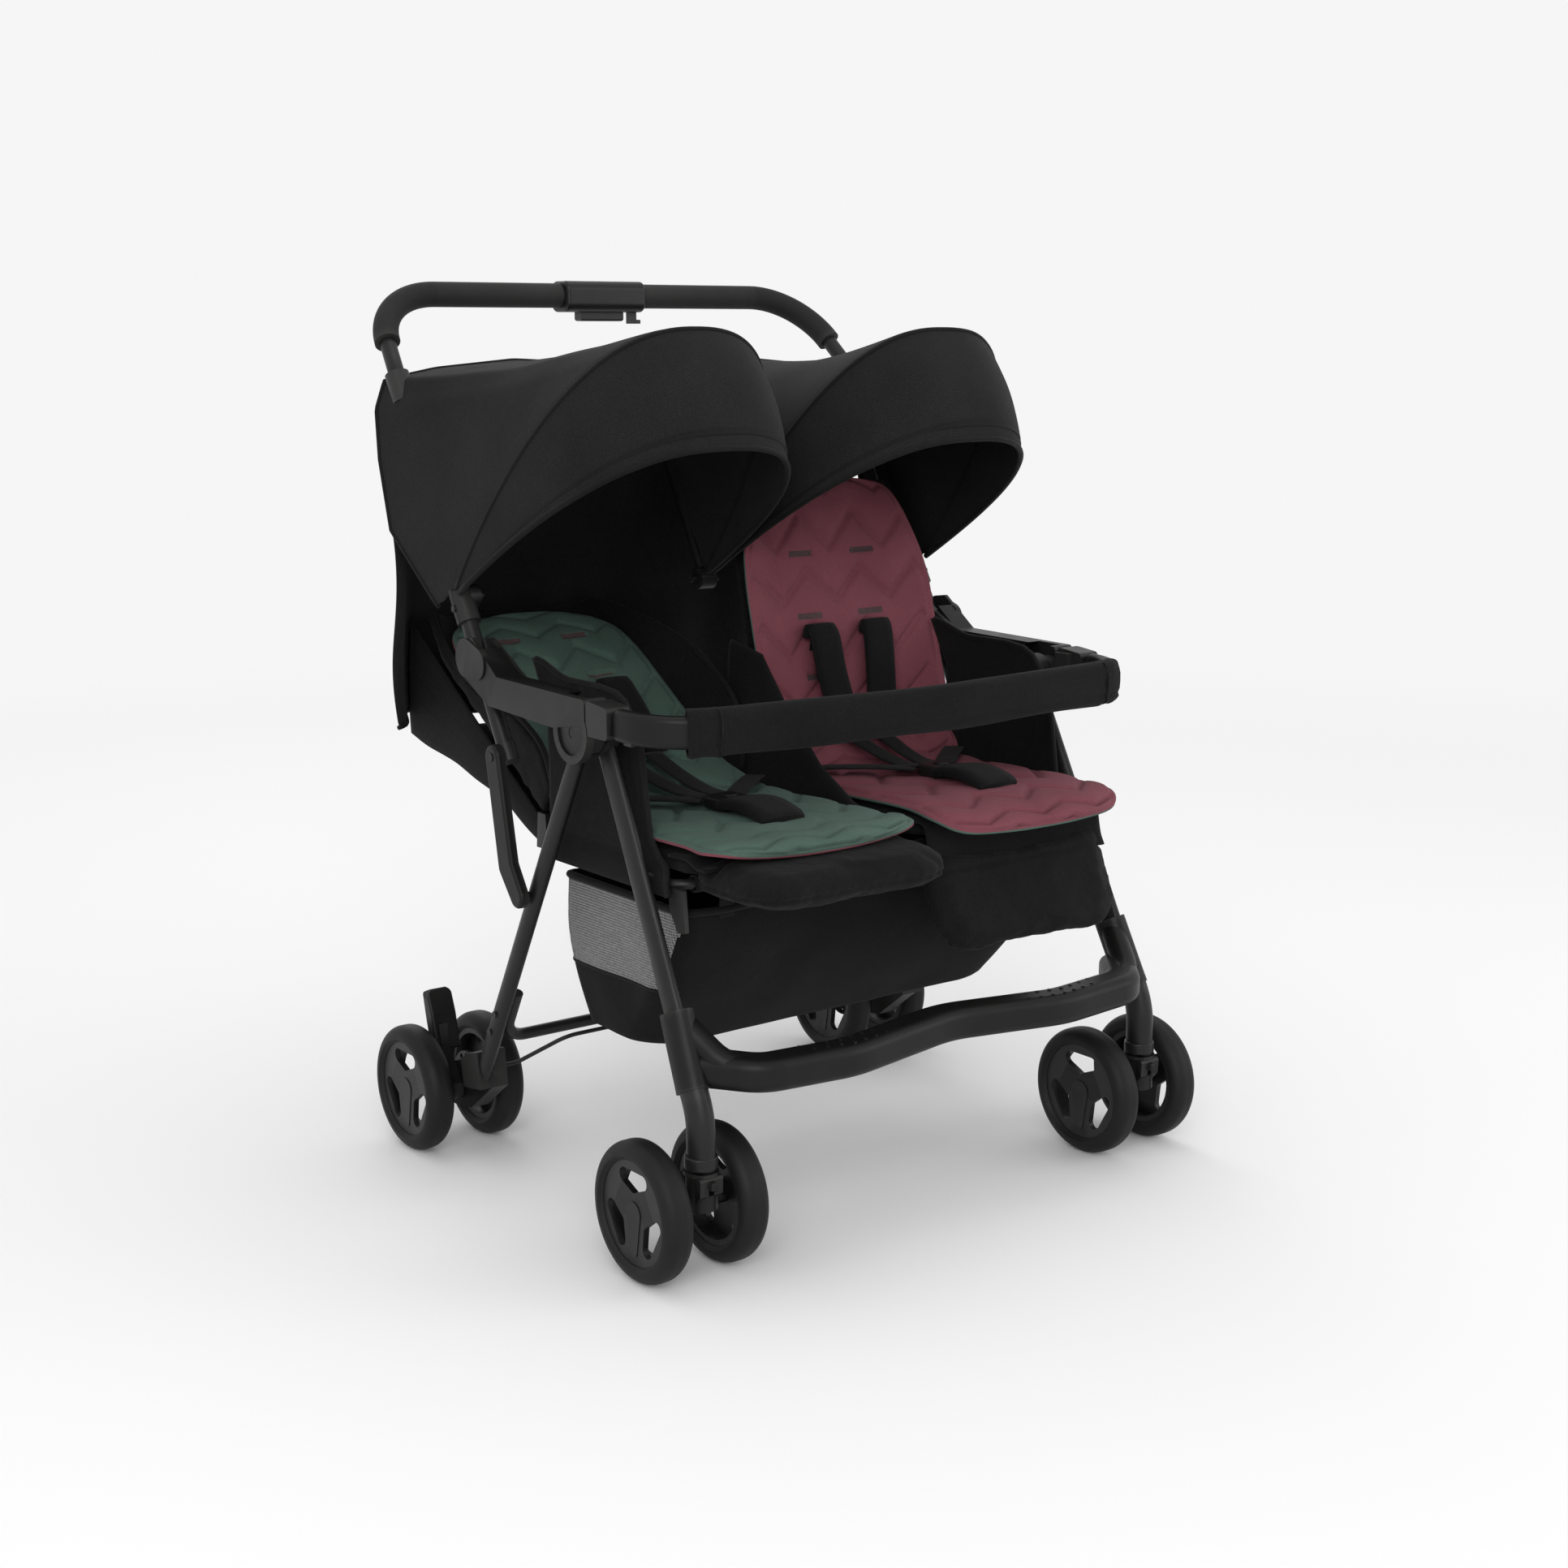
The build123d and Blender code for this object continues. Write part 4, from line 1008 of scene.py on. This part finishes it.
def harness(name, side):
    lean, x_mid = LEAN[name], side * SEAT_X

    def on_back(x, s, u):
        y, z = side_point(RECLINE, s, u, lean)
        return at(x_mid + x, y, z)

    body, seat = "backrest_" + name, "front_frame"
    for end in (-1, 1):
        label = name + ("_a" if end < 0 else "_b")
        pad_line = smooth_line([on_back(end * x, s, u) for x, s, u in
                                ((43, 176, 25), (43, 186, 31), (41, 172, 37), (38, 130, 36), (31, 84, 37),
                                 (25, 52, 42))], 60)
        pad = ribbon("shoulder_pad_" + label, pad_line, (1, 0.0, 0.0), 0.042, 0.009, BUMPER_CLOTH, body)
        if end < 0:
            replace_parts(pad, "harness_" + name)
        hem = [p + Vector((end * 0.0198, 0, 0)) for p in pad_line]
        tube_mesh("shoulder_piping_" + label, hem, 0.0022, PIPING, body, sides=8)
        web = smooth_line([on_back(end * 44, 160, 22), on_back(end * 44, 166, 25), on_back(end * 44, 172, 28),
                           on_back(end * 42, 168, 30), on_back(end * 38, 130, 31), on_back(end * 30, 80, 32),
                           on_back(end * 22, 50, 38)], 60)
        ribbon("shoulder_strap_" + label, web, (1, 0, 0), 0.025, 0.0022, WEBBING, body)
    for end in (-1, 1):
        label = name + ("_a" if end < 0 else "_b")
        start, low = on_back(end * 22, 50, 38), at(x_mid + end * 12, 160, 456)
        hang = [start.lerp(low, part) - Vector((0, 0, drop)) for part, drop in ((0.35, 0.006), (0.7, 0.007))]
        line = smooth_line([start, *hang, low], 26)
        drop = ribbon("lower_strap_" + label, line, (1, 0, 0), 0.025, 0.0022, WEBBING, None)
        on_back(0, 49, 38)
        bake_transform(drop)
        waist = smooth_line([at(x_mid + end * x, y, z) for x, y, z in
                             ((118, 250, 452), (90, 222, 455), (52, 186, 456), (22, 158, 455))], 30)
        flat = [(waist[min(k + 1, 29)] - waist[max(k - 1, 0)]).cross(Vector((0, 0, 1))) for k in range(30)]
        ribbon("waist_strap_" + label, waist, flat, 0.025, 0.0022, WEBBING, seat, ripple=0.0004)
    outline = rounded_outline(21, 118, 160, 9, 9, 8)
    shape = prism("buckle_" + name, outline, lambda x, y, h: at(x_mid + x, y, h), 447, 461, GLOSSY)
    bevel = shape.modifiers.new("bevel", "BEVEL")
    bevel.width, bevel.segments = 0.003, 3
    apply_all(shape)
    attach(shape, seat)
    button = prism("buckle_button_" + name, rounded_outline(9, 128, 146, 8, 8, 8),
                   lambda x, y, h: at(x_mid + x, y, h), 459, 463.5, PLASTIC)
    bevel = button.modifiers.new("bevel", "BEVEL")
    bevel.width, bevel.segments = 0.0015, 3
    apply_all(button)
    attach(button, seat)
    crotch = smooth_line([at(x_mid, y, z) for y, z in
                          ((38, 449), (46, 454), (78, 460), (112, 458), (122, 454))], 40)
    pad = ribbon("crotch_pad_" + name, crotch, (1, 0, 0), 0.056, 0.011, BUMPER_CLOTH, seat)
    return shape


buckles = [harness(name, side) for name, side in SIDES]
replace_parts(buckles[0], "buckles")


# ------------------------------------------------------------------ stage, light, camera

def stage():
    half, under = 30, -0.0005
    corners = [(-half, -half, under), (half, -half, under), (half, half, under), (-half, half, under)]
    floor = add_mesh("floor", corners, [(0, 1, 2, 3)], [])
    mat, tree, shader = new_material("pale_floor")
    coords = tree.nodes.new("ShaderNodeTexCoord").outputs["Object"]
    reach = tree.nodes.new("ShaderNodeVectorMath")
    reach.operation = "LENGTH"
    tree.links.new(coords, reach.inputs[0])
    far = node(tree, "ShaderNodeMapRange")
    far.interpolation_type = "SMOOTHSTEP"
    far.inputs["From Min"].default_value, far.inputs["From Max"].default_value = 0.9, 4.5
    tree.links.new(reach.outputs["Value"], far.inputs["Value"])
    base = colour_between(tree, far.outputs["Result"], (0.80, 0.80, 0.80), (0.0, 0.0, 0.0), 0.0, 1.0)
    glow = colour_between(tree, far.outputs["Result"], (0.0, 0.0, 0.0), (0.92, 0.92, 0.92), 0.0, 1.0)
    tree.links.new(base, shader.inputs["Base Color"])
    tree.links.new(glow, shader.inputs["Emission Color"])
    shader.inputs["Emission Strength"].default_value = 1.0
    shader.inputs["Specular IOR Level"].default_value = 0.0
    shader.inputs["Roughness"].default_value = 0.9
    floor.data.materials.append(mat)
    world = bpy.data.worlds.new("studio")
    bpy.context.scene.world = world
    world.use_nodes = True
    world.node_tree.nodes["Background"].inputs["Color"].default_value = (1.0, 1.0, 1.0, 1)
    world.node_tree.nodes["Background"].inputs["Strength"].default_value = 0.92


def area_light(name, place, target, size, power):
    data = bpy.data.lights.new(name, "AREA")
    data.energy, data.shape, data.size = power, "DISK", size
    light = bpy.data.objects.new(name, data)
    bpy.context.scene.collection.objects.link(light)
    light.location = place
    light.rotation_euler = (Vector(target) - Vector(place)).to_track_quat("-Z", "Y").to_euler()


def camera():
    data = bpy.data.cameras.new("camera")
    data.sensor_width, data.lens = 36.0, 51.76
    cam = bpy.data.objects.new("camera", data)
    bpy.context.scene.collection.objects.link(cam)
    cam.location = at(-1552, -1831, 948)
    yaw, pitch, roll = math.radians(36.84), math.radians(11.12), math.radians(-0.2)
    look = Vector((math.sin(yaw) * math.cos(pitch), math.cos(yaw) * math.cos(pitch), -math.sin(pitch)))
    quat = look.to_track_quat("-Z", "Y")
    cam.rotation_mode = "QUATERNION"
    cam.rotation_quaternion = quat @ Quaternion((0, 0, 1), roll)
    data.clip_end = 100
    bpy.context.scene.camera = cam


stage()
area_light("key", (-2.6, -3.2, 2.3), (0, 0, 0.5), 2.4, 70)
area_light("fill", (2.8, -2.6, 1.6), (0, 0, 0.5), 2.2, 24)
area_light("top", (0.2, 0.3, 3.4), (0, 0, 0.5), 2.0, 10)
area_light("back", (0.8, 2.8, 2.4), (0, 0, 0.6), 2.0, 14)
camera()
bpy.context.scene.view_settings.view_transform = "Standard"
